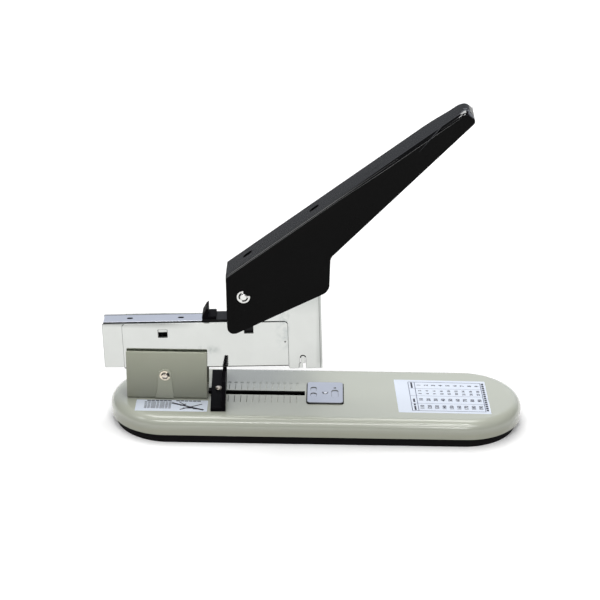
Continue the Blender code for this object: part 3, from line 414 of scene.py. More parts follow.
# stove enamel on pressed steel: even grey-green with a soft gloss and a faint orange peel
sageEnamel = makeFinish("sageEnamel", "sage_enamel", {
    "shades": ("#B3B6A9", "#B5B8AB"), "patch": 90, "grain": 1.6, "rough": (0.24, 0.27),
    "relief": (0.08, 0.02), "sockets": {"IOR": 1.5, "Coat Weight": 0.9, "Coat Roughness": 0.14},
    "tints": (
        # painted shade: the enamel a shade warmer and deeper down the side, and a painted shadow under the
        # head
        ("#A7A997", [("Z", 15.5, 10.5)]),
        ("#9A9E99", [("Z", 19, 21), ("Y", -3, 9), ("X", -85, -70), ("X", 8, -40)]),
    ),
})
# the same enamel on the folded bracket, a little darker and flatter, with painted shade darkening it
# towards the bottom
folded = {"patch": 30, "grain": 1.2, "rough": (0.32, 0.4), "relief": (0.12, 0.02), "sockets": {"IOR": 1.5}}
bracketEnamel = makeFinish("bracketEnamel", "bracket_enamel", {
    **folded, "shades": ("#ABAE9C", "#AFB2A1"), "tints": [("#7E8073", [("Z", 62, 24)])],
})
# the raised rib is the same enamel painted lighter as a painted highlight, with painted shade darkening it
# towards the bottom
ribHighlightEnamel = makeFinish("ribHighlightEnamel", "bracket_enamel", {
    **folded, "shades": ("#BABDAC", "#BEC1B1"), "tints": [("#8F9183", [("Z", 62, 24)])],
})
# black stove enamel on the handle: deep, with a fine even peel that softens reflections
stoved = {"shades": ("#050505", "#070707"), "patch": 40, "grain": 0.9}
blackEnamel = makeFinish("blackEnamel", "black_enamel", {
    **stoved, "rough": (0.22, 0.27), "relief": (0.05, 0.02),
    "sockets": {"IOR": 1.1, "Coat Weight": 0.06, "Coat Roughness": 0.05},
})
# the same enamel stretched over the folds and polished by hands, so it takes a fine bright line
polishedFold = makeFinish("polishedFold", "black_enamel", {
    **stoved, "rough": (0.2, 0.24), "relief": (0.01, 0.02),
    "sockets": {"IOR": 1.1, "Coat Weight": 1.0, "Coat IOR": 2.1, "Coat Roughness": 0.04},
})
# natural rubber moulding under the base: dull black, slightly dusty; the same black sheet round the anvil
# is painted shade
blackRubberAndShade = makeFinish("blackRubberAndShade", "black_rubber", {
    "shades": ("#121112", "#161516"), "patch": 14, "grain": 0.7, "rough": (0.6, 0.72),
    "relief": (0.2, 0.03), "sockets": {"IOR": 1.45, "Specular IOR Level": 0.08},
})
# moulded ABS with a fine spark texture: satin black with a cool cast
mouldedBlack = makeFinish("mouldedBlack", "black_plastic", {
    "shades": ("#0A090C", "#0D0C10"), "patch": 12, "grain": 0.45, "rough": (0.4, 0.5),
    "relief": (0.25, 0.03), "sockets": {"IOR": 1.3, "Specular IOR Level": 0.06},
})
# the ribs of the pusher's knob are the same plastic painted paler, as painted highlights along them
paintedHighlightBlack = makeFinish("paintedHighlightBlack", "black_plastic", {
    "shades": ("#242425", "#303031"), "patch": 7, "grain": 0.5, "rough": (0.38, 0.5),
    "relief": (0.25, 0.03), "sockets": {"IOR": 1.46, "Specular IOR Level": 0.1},
})
# blackened sheet steel of the pusher
blackenedSteel = makeFinish("blackenedSteel", "black_steel", {
    "shades": ("#232324", "#2A2A2B"), "patch": 8, "grain": 0.5, "rough": (0.4, 0.5),
    "relief": (0.15, 0.02), "sockets": metal,
})
# bright nickel plate on rolled sheet: near mirror, with a faint rolled grain and handling haze
nickelPlate = makeFinish("nickelPlate", "plated_steel", {
    "shades": ("#C5C7C4", "#CACCC9"), "patch": 22, "grain": 2.6, "rough": (0.04, 0.08),
    "relief": (0.02, 0.005), "stretch": (0.35, 1, 1), "sockets": metal,
    "tints": (
        # a cloudy darker band beside the column, handling marks along the covers, painted shade over the
        # column's top, and a painted shadow of the rail along the rear of the covers' upper edge
        ("#A9AFAE", [("X", -34, -25), ("X", -21, -23), ("Z", 62, 80)], 5),
        ("#AEB2AF", [("Z", 60, 64), ("Z", 70, 66), ("X", -106, -98), ("X", -74, -82)], 6),
        ("#A6AAA7", [("Z", 96, 124), ("X", -26, -16)]),
        ("#A2A4A1", [("Z", 83, 87), ("X", -96, -122)]),
        # painted shade where the column's rolled front edge would turn away from the light
        ("#999C99", [("X", -1, 6), ("Z", 48, 56)]),
    ),
})
# sheared edges and unpolished insides of the plated sheet, dull mid grey; along the rims of the plates,
# covers and anvil the same grey is also painted shade
raw = {"patch": 6, "grain": 0.5, "rough": (0.5, 0.62), "relief": (0.15, 0.02), "sockets": metal}
shearedEdgeAndShade = makeFinish("shearedEdgeAndShade", "plated_steel", {**raw, "shades": ("#868886", "#929491")})
# painted shade: a dark grey on the rail's folded walls, on the base slot's rims, behind the hinge rings
# and under the covers
paintedShadeGrey = makeFinish("paintedShadeGrey", "plated_steel", {**raw, "shades": ("#3C3C3B", "#484846")})
# the rail and anvil are ground and plated: cooler, with a tighter grain along the length
nickelRail = makeFinish("nickelRail", "plated_steel", {
    "shades": ("#C6C9D1", "#CBCED6"), "patch": 18, "grain": 0.5, "rough": (0.26, 0.34),
    "relief": (0.08, 0.01), "stretch": (0.12, 1, 1), "sockets": metal,
})
# bright zinc on pins, clips and screws
zinc = {"patch": 4, "grain": 0.4, "relief": (0.12, 0.01), "sockets": metal}
zincSteel = makeFinish("zincSteel", "zinc_steel", {
    **zinc, "shades": ("#D2D2CF", "#DDDDDA"), "rough": (0.24, 0.34),
})
# clear-passivated zinc on the stop's screw and the hinge pin, faintly warm
passivatedSteel = makeFinish("passivatedSteel", "zinc_steel", {
    **zinc, "shades": ("#DCD2C4", "#E8DED2"), "rough": (0.3, 0.4),
})
# yellow-passivated ring on the hinge pin
brassedSteel = makeFinish("brassedSteel", "brassed_steel", {
    **zinc, "shades": ("#DACFBC", "#E6DDCD"), "patch": 3, "rough": (0.28, 0.38),
})
# drawn spring wire, dull grey
springSteel = makeFinish("springSteel", "spring_steel", {
    "shades": ("#6C6C70", "#7C7C80"), "patch": 5, "grain": 0.3, "rough": (0.3, 0.42),
    "relief": (0.1, 0.01), "sockets": metal,
})
# oiled core of the magazine, dark inside the head; the same dark under the rail's holes is painted shade
oiledSteelAndShade = makeFinish("oiledSteelAndShade", "plated_steel", {
    "shades": ("#1A1A1B", "#202021"), "patch": 9, "grain": 0.6, "rough": (0.55, 0.65),
    "relief": (0.1, 0.01), "sockets": metal,
})
# coated sticker paper, cool white
labelPaper = makeFinish("labelPaper", "sage_enamel", {
    "shades": ("#DAE2EF", "#DEE5F1"), "patch": 25, "grain": 0.6, "rough": (0.4, 0.48),
    "relief": (0.05, 0.01), "sockets": {"IOR": 1.5},
})
# printing ink on the labels, blue-grey and flat
ink = {"grain": 0.3, "relief": (0.05, 0.01)}
flatInk = {**ink, "patch": 2, "rough": (0.5, 0.6)}
labelInk = makeFinish("labelInk", "sage_enamel", {**flatInk, "shades": ("#5C607C", "#666A86")})
darkInk = makeFinish("darkInk", "sage_enamel", {**flatInk, "shades": ("#2C2E3E", "#383A4A")})
# scale printed on the enamel, dark green-grey where the stop covers it and rubbed thin towards the nose
scalePrint = {**ink, "patch": 3, "rough": (0.4, 0.5)}
scaleInk = makeFinish("scaleInk", "sage_enamel", {
    **scalePrint, "shades": ("#3E443E", "#484E48"), "tints": [("#B0B3A8", [("X", -64, -50)])],
})
numberInk = makeFinish("numberInk", "sage_enamel", {
    **scalePrint, "shades": ("#454A48", "#505551"), "tints": [("#8C908A", [("X", -68, -40)])],
})
print("finishes made")

# solids that show as they are
carriedOver = (
    (springSteel, ("lift_spring", "pusher_spring", "handle_spring", "anvil_spring")),
    (zincSteel, (
        "spring_anchor", "spring_seat", "drive_arm", "drive_pin", "driver_block", "anvil_washer",
        "stop_nut", "hinge_washer_near", "hinge_washer_far", "pivot_bush_near", "pivot_bush_far",
        "bracket_screw_1", "bracket_screw_2", *[f"cross_pin_{number}" for number in range(1, 5)],
    )),
    (oiledSteelAndShade, ("staple_core",)), (nickelRail, ("driver_blade",)), (blackenedSteel, ("pusher_saddle",)),
)
for material, names in carriedOver:
    for name in names:
        for slot in nodes[name].material_slots:
            slot.material = material


base = {
    "halfLength": 166, "halfWidth": 46.5, "foot": 7.1, "top": 21.6, "shoulder": 8.0, "wall": 1.5,
    "slot": (-86.0, -9.0), "slotHalf": 3.6,
}


def stadium(inset, endInset=None):
    x = base["halfLength"] - (inset if endInset is None else endInset)
    return roundSlot(0, x, base["halfWidth"] - inset)


def makeBase():
    bm = bmesh.new()
    edges = addLoop(bm, stadium(0))
    face = bmesh.ops.contextual_create(bm, geom=edges)["faces"][0]
    moveUp(bm, base["foot"])
    pullUp(bm, [face], base["top"] - base["foot"])
    faceOut(bm)
    dropFaces(bm, capFaces(bm, base["foot"]))
    rim = list(capFaces(bm, base["top"])[0].edges)
    bevelled(bm, rim, base["shoulder"], 14)
    top = largest(capFaces(bm, base["top"]))
    bmesh.ops.inset_region(bm, faces=[top], thickness=0.6, depth=0)
    (rear, front), half = base["slot"], base["slotHalf"]
    cutTop(bm, top, base["top"], [rectangle(rear, -half, front, half)])
    # the second finish, a painted shade, is only for the rims that the wall gives, such as the slot's
    # walls
    piece = finishPiece(
        bm, "pressedBase", baseSpot, "base", sageEnamel, ("base_shell",), 30, paintedShadeGrey,
        lambda normal: False,
    )
    giveWall(piece, base["wall"], rim=1)


padLook = {
    "inset": 0.9, "endInset": 3.6, "height": 6.8, "round": 0.9, "screws": (136.0, 25.5), "well": 3.2,
    "screwLow": 1.3,
}


def makePad():
    x, y = padLook["screws"]
    spots = [(-x, -y), (-x, y), (x, -y), (x, y)]
    wells = [(x, y, padLook["well"]) for x, y in spots]
    outline = stadium(padLook["inset"], padLook["endInset"])
    bm = cutSheet(outline, 0, padLook["height"], circles=wells, rounding=padLook["round"])
    finishPiece(bm, "rubberPad", baseSpot, "base", blackRubberAndShade, ("base_pad",), 40)
    for number, (x, y) in enumerate(spots, 1):
        screw = roundScrew(2.95, 0.9, 1.4, 6)
        lifted = Matrix.Translation((x, y, padLook["screwLow"]))
        screw.transform(lifted @ Matrix.Rotation(pi, 4, "X"))
        finishPiece(screw, f"padScrew{number}", baseSpot, "base", zincSteel, (f"base_screw_{number}",))


def roundScrew(headRadius, headHeight, shankRadius, shankLength):
    # a low round head on its shank, seated on z = 0
    return turned([
        (0, -shankLength), (shankRadius, -shankLength), (shankRadius, 0), (headRadius * 0.96, 0),
        (headRadius, headHeight * 0.15), (headRadius * 0.97, headHeight * 0.45),
        (headRadius * 0.82, headHeight * 0.78), (headRadius * 0.55, headHeight * 0.95), (0, headHeight),
    ], 32)


makeBase()
makePad()
print("base made")


bracket = {
    "rear": -151.9, "front": -87.4, "inner": 11.75, "outer": 13.55, "foot": 0.3, "top": 42.4,
    "bend": 2.4, "ribHeight": 0.85, "ribCrown": 5.2, "ribFoot": -21.0,
}


def makeBracket():
    # the folded channel's section, drawn in y and z and pulled along the base
    inner, outer = bracket["inner"], bracket["outer"]
    low, high, bend = bracket["foot"], bracket["top"], bracket["bend"]
    wall = outer - inner
    section = [
        (-outer, high, 0.9), (-outer, low, bend), (outer, low, bend), (outer, high, 0.9),
        (inner, high, 0.5), (inner, low + wall, bend - wall), (-inner, low + wall, bend - wall),
        (-inner, high, 0.5),
    ]
    bm = cutSheet(section, bracket["rear"], bracket["front"], rounding=0.3)
    bm.transform(crossways)
    finishPiece(bm, "rearBracket", topSpot, "base", bracketEnamel, ("rear_bracket",))
    rib = [(-8.4, bracket["ribFoot"], 0), (-7.3, -17.5, 3.0), (-4.9, bracket["ribCrown"], 4.2),
           (4.9, bracket["ribCrown"], 4.2), (6.9, bracket["ribFoot"], 0)]
    for side, stand in sides.items():
        bm = cutSheet(rib, outer - 1.3, outer + bracket["ribHeight"], rounding=0.7)
        # the rib is painted lighter, a painted highlight
        finishPiece(bm, f"bracketRib_{side}", hingeSpot @ stand, "base", ribHighlightEnamel, (), 50)


def arcPoints(radius, start, end, steps):
    turn = radians(end - start)
    angles = [radians(start) + turn * i / steps for i in range(steps + 1)]
    return [(radius * cos(angle), radius * sin(angle), 0) for angle in angles]


def snapRing(outer, inner, grip, opening, facing):
    # an E-shaped retaining ring: prongs 16 degrees wide beside its opening and one of 32 degrees
    # opposite reach in to the grip radius, each with 8 degrees of slope beside it
    half = opening / 2
    arcs = (
        (outer, half, 360 - half, 48), (grip, -half, -half - 16, 4), (inner, -half - 24, -156, 12),
        (grip, -164, -196, 6), (inner, -204, half - 336, 12), (grip, half - 344, half - 360, 4),
    )
    outline = []
    for radius, start, end, steps in arcs:
        outline += arcPoints(radius, facing + start, facing + end, steps)
    return outline


def roundPin(radius, end, face, chamfer):
    # lies across the head; face is the radius of its flat ends
    half = [(0, end), (face, end), (radius, end - chamfer)]
    pin = turned([(r, -z) for r, z in half] + half[::-1])
    pin.transform(uprightNear)
    return pin


# each ring: outer, inner and grip radius, how wide its opening is and where that faces, in degrees
hingeLook = {
    "pin": (2.1, 16.2, 1.5, 0.45), "ring": (4.3, 3.0, 2.2, 70, 20), "clip": (14.45, 15.3), "round": 0.12,
    "shadeDisc": (3.7, 14.3, 14.5),
}
pivotLook = {
    "pin": (2.8, 16.0, 2.3, 0.5), "ring": (5.2, 3.9, 2.85, 78, 50), "clip": (14.65, 15.45), "round": 0.14,
}


def addClip(look, name, spot, body, finish, side):
    ring = cutSheet(snapRing(*look["ring"]), *look["clip"], rounding=look["round"])
    finishPiece(ring, f"{name}Clip_{side}", spot @ sides[side], body, finish, (f"{name}_clip_{side}",), 40)


def makeHinge():
    pin = roundPin(*hingeLook["pin"])
    finishPiece(pin, "hingePin", hingeSpot, "base", passivatedSteel, ("hinge_pin",), 40)
    radius, low, high = hingeLook["shadeDisc"]
    for side, stand in sides.items():
        spot = hingeSpot @ stand
        # a dark disc behind each ring is painted shade in the gap round the pin
        shadeDisc = turned([(0, low), (radius, low), (radius, high), (0, high)])
        finishPiece(shadeDisc, f"hingeShadeDisc_{side}", spot, "base", paintedShadeGrey, slot="zinc_steel")
        addClip(hingeLook, "hinge", hingeSpot, "base", brassedSteel, side)


makeBracket()
makeHinge()
print("bracket made")


# how far each sheet's two faces lie from the middle plane
head = {"frame": (7.9, 9.1), "cover": (9.25, 10.05)}
# the near frame plate shows a dull inner face, the far one a bright one
edgesOf = {"near": cutEdges, "far": lowerEdges}
windows = {"rear": (-3.7, 31.7, 3.5, 38.4), "front": (64.8, 34.2, 71.8, 40.4)}
tongueLook = {"end": 36.0, "gap": 0.15, "sheet": (-0.8, -0.05), "lean": 14}


def windowHoles(smaller):
    # the frame behind a cover shows as a narrow step inside each window
    return [
        rectangle(x0 + smaller, z0 + smaller, x1 - smaller, z1, 0.3) for x0, z0, x1, z1 in windows.values()
    ]


def makeFrames():
    outline = [
        (-48.2, 5.3, 1.2), (-5.5, 5.3, 0), (-5.5, -5.5, 5.45), (5.5, -5.5, 5.45), (5.5, 5.3, 0),
        (99.2, 5.3, 0.6), (99.2, 1.6, 1.6), (107.5, 1.6, 0.8), (107.5, 6.2, 0.3), (108.4, 6.2, 0.2),
        (108.4, 13.4, 2.2), (112.9, 13.4, 2.2), (112.9, 1.6, 0.3), (124.6, 1.6, 0.5), (124.6, 79.0, 1.2),
        (103.0, 79.0, 1.0), (56.6, 77.4, 9.0), (56.6, 43.8, 1.0), (-48.2, 43.8, 0.8),
    ]
    tongue = [
        (107.6, 2.0, 0.3), (110.3, 2.0, 0.3), (110.3, 6.0, 0.3), (112.5, 6.0, 0.1), (112.5, 12.7, 1.8),
        (109.0, 12.7, 1.8), (109.0, 6.6, 0.2), (107.6, 6.0, 0.1),
    ]
    for side, stand in sides.items():
        bm = cutSheet(outline, *head["frame"], holes=windowHoles(0.1), rounding=0.3)
        finishPiece(
            bm, f"framePlate_{side}", headSpot @ stand, "head", nickelPlate, (f"frame_plate_{side}",),
            edges=shearedEdgeAndShade, where=edgesOf[side],
        )
        low, high = head["frame"]
        bm = cutSheet(tongue, low, high - 0.3, rounding=0.2)
        finishPiece(bm, f"noseTongue_{side}", headSpot @ stand, "head", nickelPlate, edges=shearedEdgeAndShade)


def makeCovers():
    outline = [
        (-32.5, 4.7, 0.4), (99.5, 4.7, 0.4), (99.5, 43.8, 3.0), (-30.7, 43.8, 0.3), (-32.5, 42.0, 0.3),
    ]
    holes = windowHoles(0)
    low, high = head["cover"]
    for side, stand in sides.items():
        bm = cutSheet(outline, low, high, holes=holes, circles=[(96.9, 26.2, 0.5)], rounding=0.34)
        finishPiece(
            bm, f"sideCover_{side}", headSpot @ stand, "head", nickelPlate, (f"side_cover_{side}",),
            edges=shearedEdgeAndShade, where=lowerEdges,
        )
        # a dark strip along the cover's lower edge, painted shade under it
        shadeLine = cutSheet(rectangle(-32.3, 4.6, 99.3, 5.3), low, high + 0.05, rounding=0.02)
        finishPiece(shadeLine, f"coverShadeLine_{side}", headSpot @ stand, "head", paintedShadeGrey)
        # a tongue is pressed in from the rear window's upper edge
        x0, _, x1, z1 = windows["rear"]
        gap = tongueLook["gap"]
        tongue = rectangle(x0 + gap, tongueLook["end"], x1 - gap, z1, 0.3, 0)
        tab = cutSheet(tongue, *tongueLook["sheet"], rounding=0.12)
        tab.transform(Matrix.Translation((0, -z1, 0)))
        leaning = Matrix.Rotation(radians(tongueLook["lean"]), 4, "X")
        tab.transform(Matrix.Translation((0, z1, high)) @ leaning)
        finishPiece(tab, f"windowTab_rear_{side}", headSpot @ stand, "head", nickelPlate)


endsLook = {
    "front": (124.62, 126.0), "low": 1.6, "high": 79.0, "guide": (122.6, 125.0), "guideHalf": 7.6,
    "guideTop": 43.8, "rear": (-46.6, -45.4), "rearLow": 5.3, "rearHigh": 35.7,
}


def makeEnds():
    half = head["frame"][1]
    low, guide = endsLook["low"], endsLook["guideHalf"]
    plate = rectangle(-half, low, half, endsLook["high"], 0.4, 1.6)
    bm = cutSheet(plate, *endsLook["front"], rounding=0.1)
    inner = rectangle(-guide, low, guide, endsLook["guideTop"], 0.2)
    addTo(bm, cutSheet(inner, *endsLook["guide"], rounding=0.1))
    bm.transform(crossways)
    finishPiece(bm, "frontPlate", headSpot, "head", nickelPlate, ("front_plate",))
    plate = rectangle(-guide, endsLook["rearLow"], guide, endsLook["rearHigh"], 0.4)
    bm = cutSheet(plate, *endsLook["rear"], rounding=0.2)
    bm.transform(crossways)
    finishPiece(bm, "rearPlate", headSpot, "head", nickelPlate, ("rear_plate",))


rail = {
    "rear": -47.4, "front": 120.7, "half": 6.3, "top": 44.3, "depth": 8.3, "sheet": 1.0, "bend": 0.5,
    "holes": (-26.5, 14.2), "holeSize": (2.4, 1.3),
}


def makeRail():
    # a flat strip with its two holes, folded down along both long edges
    bm = bmesh.new()
    half = rail["half"]
    holes = [roundSlot(x, *rail["holeSize"]) for x in rail["holes"]]
    faces = fillSheet(bm, rectangle(rail["rear"], -half, rail["front"], half), holes)
    bmesh.ops.inset_region(bm, faces=faces, thickness=1.6, depth=0, use_boundary=True)
    moveUp(bm, rail["top"])
    folds = [
        edge for edge in bm.edges
        if edge.is_boundary and abs(abs(edge.verts[0].co.y) - half) < 0.001
        and abs(abs(edge.verts[1].co.y) - half) < 0.001 and edge.calc_length() > 10
    ]
    moveUp(bm, -rail["depth"], vertsOf(bmesh.ops.extrude_edge_only(bm, edges=folds)["geom"]))
    faceOut(bm)
    if largest(bm.faces).normal.z < -0.5:
        bmesh.ops.reverse_faces(bm, faces=bm.faces)
    bevelled(bm, folds, rail["bend"], 5)
    # the folded walls are painted dark grey, a painted shade
    piece = finishPiece(
        bm, "topRail", headSpot, "head", nickelRail, ("top_rail",), edges=paintedShadeGrey,
        where=lambda normal: abs(normal.y) > 0.9,
    )
    giveWall(piece, rail["sheet"], rim=1)
    # dark plugs just under the holes, painted shade for the inside of the magazine
    plugs = bmesh.new()
    for hole in holes:
        addTo(plugs, cutSheet(hole, rail["top"] - 0.95, rail["top"] - 0.8, rounding=0))
    finishPiece(plugs, "railShade", headSpot, "head", oiledSteelAndShade)


makeFrames()
makeCovers()
makeEnds()
makeRail()
print("head made")


knob = {
    "rear": 31.6, "low": 45.75, "half": 7.3, "blockEnd": 11.0, "tabLength": 5.0, "crest": 0.8,
    "tabTop": 55.2, "shoulder": 48.0, "ridges": (-5.6, -2.8, 0, 2.8, 5.6), "ridgeHeight": 0.45,
    "ridgeHalf": 0.5, "ridgeStart": 1.0, "ridgeEnd": 0.7,
}


def makeKnob():
    rear, low, shoulder, top = (knob[key] for key in ("rear", "low", "shoulder", "tabTop"))
    tabEnd = rear + knob["tabLength"]
    crest = tabEnd - knob["crest"]
    profile = [
        (rear, low, 0), (rear + knob["blockEnd"], low, 0), (rear + knob["blockEnd"], shoulder, 0.9),
        (tabEnd, shoulder, 0.3), (tabEnd, top, 0.35), (crest, top, 0.3), (rear, shoulder, 0.4),
    ]
    bm = cutSheet(profile, -knob["half"], knob["half"], rounding=0.4)
    bm.transform(uprightNear)
    finishPiece(bm, "pusherKnob", headSpot, "pusher", mouldedBlack, ("pusher_knob",), 40)
    # grip ridges run up the sloped face of the tab
    bm = bmesh.new()
    foot = Vector((rear, shoulder))
    slope = (Vector((crest, top)) - foot).normalized()
    out = Vector((-slope.y, slope.x)) * knob["ridgeHeight"]
    start = foot + slope * knob["ridgeStart"]
    end = Vector((crest, top)) - slope * knob["ridgeEnd"]
    for middle in knob["ridges"]:
        corners = [(*corner, 0) for corner in (start - out, end - out, end + out, start + out)]
        half = knob["ridgeHalf"]
        addTo(bm, cutSheet(corners, middle - half, middle + half, rounding=0.15))
    bm.transform(uprightNear)
    # the ridges are painted paler, as painted highlights
    finishPiece(bm, "knobRidges", headSpot, "pusher", paintedHighlightBlack, (), 40)


def makePivot():
    pin = roundPin(*pivotLook["pin"])
    finishPiece(pin, "pivotPin", pivotSpot, "head", zincSteel, ("pivot_pin",), 40)
    for side in sides:
        addClip(pivotLook, "pivot", pivotSpot, "head", zincSteel, side)


makeKnob()
makePivot()


handle = {
    "half": 14.5, "top": 22.3, "rear": -0.4, "tip": 229.0, "tipRadius": 9.0, "shoulder": 7.0, "wall": 1.2,
    "heel": (-32.2, -20.9, 6.0), "toe": (56.6, -36.5, 9.0), "armRoot": (74.5, -14.1, 7.0),
    "tipLow": 10.2, "tipCorner": 3.5, "slots": (20.7, 85.8), "slotSize": (4.5, 2.5),
    # extra cuts along the handle, so that its folds can change width: from, to and step
    "cuts": ((14, 110, 16), (112, 221, 6)),
    # each fold's share of the shoulder over the head and at the tip, and where it starts and ends opening
    "folds": {"near": (0.28, 0.46, 100, 160), "far": (0.25, 1.0, 190, 221)},
}


def eased(share):
    share = max(0.0, min(1.0, share))
    return share * share * (3 - 2 * share)


def foldShare(x, side):
    least, most, start, full = handle["folds"][side]
    return least + (most - least) * eased((x - start) / (full - start))


def wallBeside(x, y):
    # how far a spot on the handle lies in from its wall, and the way out to it
    half, tip, radius = handle["half"], handle["tip"], handle["tipRadius"]
    corner = Vector((tip - radius, copysign(half - radius, y)))
    if x <= corner.x:
        return half - abs(y), Vector((0, copysign(1, y)))
    if abs(y) <= abs(corner.y):
        return tip - x, Vector((1, 0))
    out = Vector((x, y)) - corner
    return radius - out.length, out.normalized()


def makeHandle():
    half, top, tip = handle["half"], handle["top"], handle["tip"]
    bm = bmesh.new()
    outline = [
        (handle["rear"], top, 0), handle["heel"], handle["toe"], handle["armRoot"],
        (tip, handle["tipLow"], handle["tipCorner"]), (tip, top, 0),
    ]
    edges = addLoop(bm, outline)
    face = bmesh.ops.contextual_create(bm, geom=edges)["faces"][0]
    pullUp(bm, [face], 2 * half)
    moveUp(bm, -half)
    faceOut(bm)
    bm.transform(uprightNear)
    # the underside is open, and the sloping rear end stays closed
    bm.normal_update()
    gone = [
        face for face in bm.faces
        if abs(face.normal.y) < 0.5 and face.normal.z < 0.5 and face.normal.x < 0.95
    ]
    bmesh.ops.delete(bm, geom=gone, context="FACES")
    corners = [
        edge for edge in bm.edges
        if len(edge.link_faces) == 2 and all(abs(vert.co.x - tip) < 0.01 for vert in edge.verts)
        and abs(edge.verts[0].co.y - edge.verts[1].co.y) < 0.01
    ]
    bevelled(bm, corners, handle["tipRadius"], 12)
    rim = [
        edge for edge in bm.edges
        if len(edge.link_faces) == 2 and edge.calc_face_angle() > radians(60)
        and all(abs(vert.co.z - top) < 0.01 for vert in edge.verts)
    ]
    bevelled(bm, rim, handle["shoulder"], 10)
    flat = largest([face for face in bm.faces if face.normal.z > 0.99])
    cutTop(bm, flat, top, [roundSlot(x, *handle["slotSize"]) for x in handle["slots"]])
    for cuts in handle["cuts"]:
        for x in range(*cuts):
            cutAcross(bm, (x, 0, 0), (1, 0, 0))
    reach = handle["shoulder"]
    for vert in bm.verts:
        inFrom, out = wallBeside(vert.co.x, vert.co.y)
        down = top - vert.co.z
        if inFrom < reach + 0.001 and down < reach + 0.001:
            near, far = (foldShare(vert.co.x, side) for side in ("near", "far"))
            share = near + (far - near) * eased((out.y + 1) / 2)
            vert.co.x += out.x * inFrom * (1 - share)
            vert.co.y += out.y * inFrom * (1 - share)
            vert.co.z = top - down * share
            if vert.co.x < 0.01:
                vert.co.x = handle["rear"] + (vert.co.x - handle["rear"]) * share
    piece = finishPiece(
        bm, "handleShell", handleSpot, "handle", blackEnamel, ("handle_shell",), edges=polishedFold,
        where=lambda normal: 0.1 < abs(normal.y) < 0.985 and normal.z > 0.1,
    )
    giveWall(piece, handle["wall"])


makeHandle()
print("handle made")


stop = {
    "depth": 12.0, "half": 33.2, "low": 0.3, "barTop": 3.3, "fence": 3.0, "fenceTop": 26.9, "notch": 13.5,
    "keyHalf": 3.2, "keyLong": 4.25, "keyLow": -1.5, "tail": 2.2, "round": 0.45, "screwBack": 6.0,
}


def makeStop():
    half, depth = stop["half"], stop["depth"]
    bm = box((-depth, -half, stop["low"]), (0, half, stop["barTop"]))
    cutAcross(bm, (-stop["fence"], 0, 0), (1, 0, 0))
    for y in (stop["notch"], -stop["notch"]):
        cutAcross(bm, (0, y, 0), (0, 1, 0))
    feet = [
        face for face in bm.faces
        if face.normal.z > 0.9 and face.calc_center_median().x > -stop["fence"]
        and abs(face.calc_center_median().y) > stop["notch"]
    ]
    pullUp(bm, feet, stop["fenceTop"] - stop["barTop"])
    dropFaces(bm, [face for face in feet if face.is_valid])
    bmesh.ops.dissolve_limit(bm, angle_limit=0.01, verts=bm.verts, edges=bm.edges)
    faceOut(bm)
    roundEdges(bm, stop["round"], 3)
    # the key that runs in the slot, and the tail behind the bar
    key, middle, low = stop["keyHalf"], -depth / 2, stop["low"]
    long, tail = stop["keyLong"], stop["tail"]
    addTo(bm, box((middle - long, -key, stop["keyLow"]), (middle + long, key, low + 1), 0.2))
    addTo(bm, box((-depth - tail, -key, low), (middle, key, low + tail), 0.35))
    finishPiece(bm, "paperStop", stopSpot, "stop", mouldedBlack, ("paper_stop",), 40)
    screw = roundScrew(3.0, 1.5, 1.9, 8)
    screw.transform(Matrix.Translation((-stop["screwBack"], 0, stop["barTop"])))
    finishPiece(screw, "stopScrew", stopSpot, "stop", passivatedSteel, ("stop_screw",))


makeStop()
print("stop made")


anvil = {
    # each pocket: its middle, half its width and length, and the radius of its corners
    "pockets": ((-9.3, 5.2, 2.3, 3.6, 2.2), (-9.3, -4.4, 2.3, 3.4, 2.2), (7.9, 7.6, 0.9, 0.9, 0.85),
                (7.9, -2.2, 2.6, 6.2, 2.0)),
    "halfX": 14.5, "halfY": 17.5, "corner": 2.5, "plate": (0.72, 1.3), "bed": (0.3, 0.76),
    "shadeMargin": 0.6, "seat": (0.02, 0.28),
    "stud": ((0, -8), (2.0, -8), (2.0, 1.32), (2.35, 1.36), (2.45, 1.5), (2.2, 1.72), (1.2, 1.85),
             (0, 1.9)),
}


def makeAnvil():
    x, y, bend = anvil["halfX"], anvil["halfY"], anvil["corner"]
    outline = rectangle(-x, -y, x, y, bend)
    pockets = [
        rectangle(px - wide, py - long, px + wide, py + long, turn)
        for px, py, wide, long, turn in anvil["pockets"]
    ]
    bm = cutSheet(outline, *anvil["plate"], holes=pockets, rounding=0.26)
    addTo(bm, cutSheet(outline, *anvil["bed"], rounding=0.1))
    finishPiece(bm, "anvilPlate", anvilSpot, "anvil", nickelRail, ("anvil_plate",), edges=shearedEdgeAndShade)
    # a black sheet a little wider than the plate, under it, is painted shade for its dark border
    wide = [(px * (1 + anvil["shadeMargin"] / x), py * (1 + anvil["shadeMargin"] / y), r) for px, py, r in outline]
    seat = cutSheet(wide, *anvil["seat"], rounding=0.05)
    finishPiece(seat, "anvilShadeSheet", anvilSpot, "anvil", blackRubberAndShade)
    finishPiece(
        turned(anvil["stud"], 32), "anvilStud", anvilSpot, "anvil", nickelRail, ("anvil_stud",),
        edges=shearedEdgeAndShade, where=lambda normal: normal.z < 0.75,
    )


makeAnvil()
print("anvil made")


rightLabel = ((66.2, -29.2), (140.0, -29.8), (138.0, 25.2), (63.5, 26.3))
leftLabel = ((-144.1, -33.5), (-86.5, -33.5), (-86.5, -15.0), (-144.1, -15.0))
paper = 0.08


def onLabel(label, u, v):
    # a spot on the label, from its left edge (u) and its near edge (v), each 0 to 1
    a, b, c, d = [Vector(corner) for corner in label]
    return (a.lerp(b, u)).lerp(d.lerp(c, u), v)


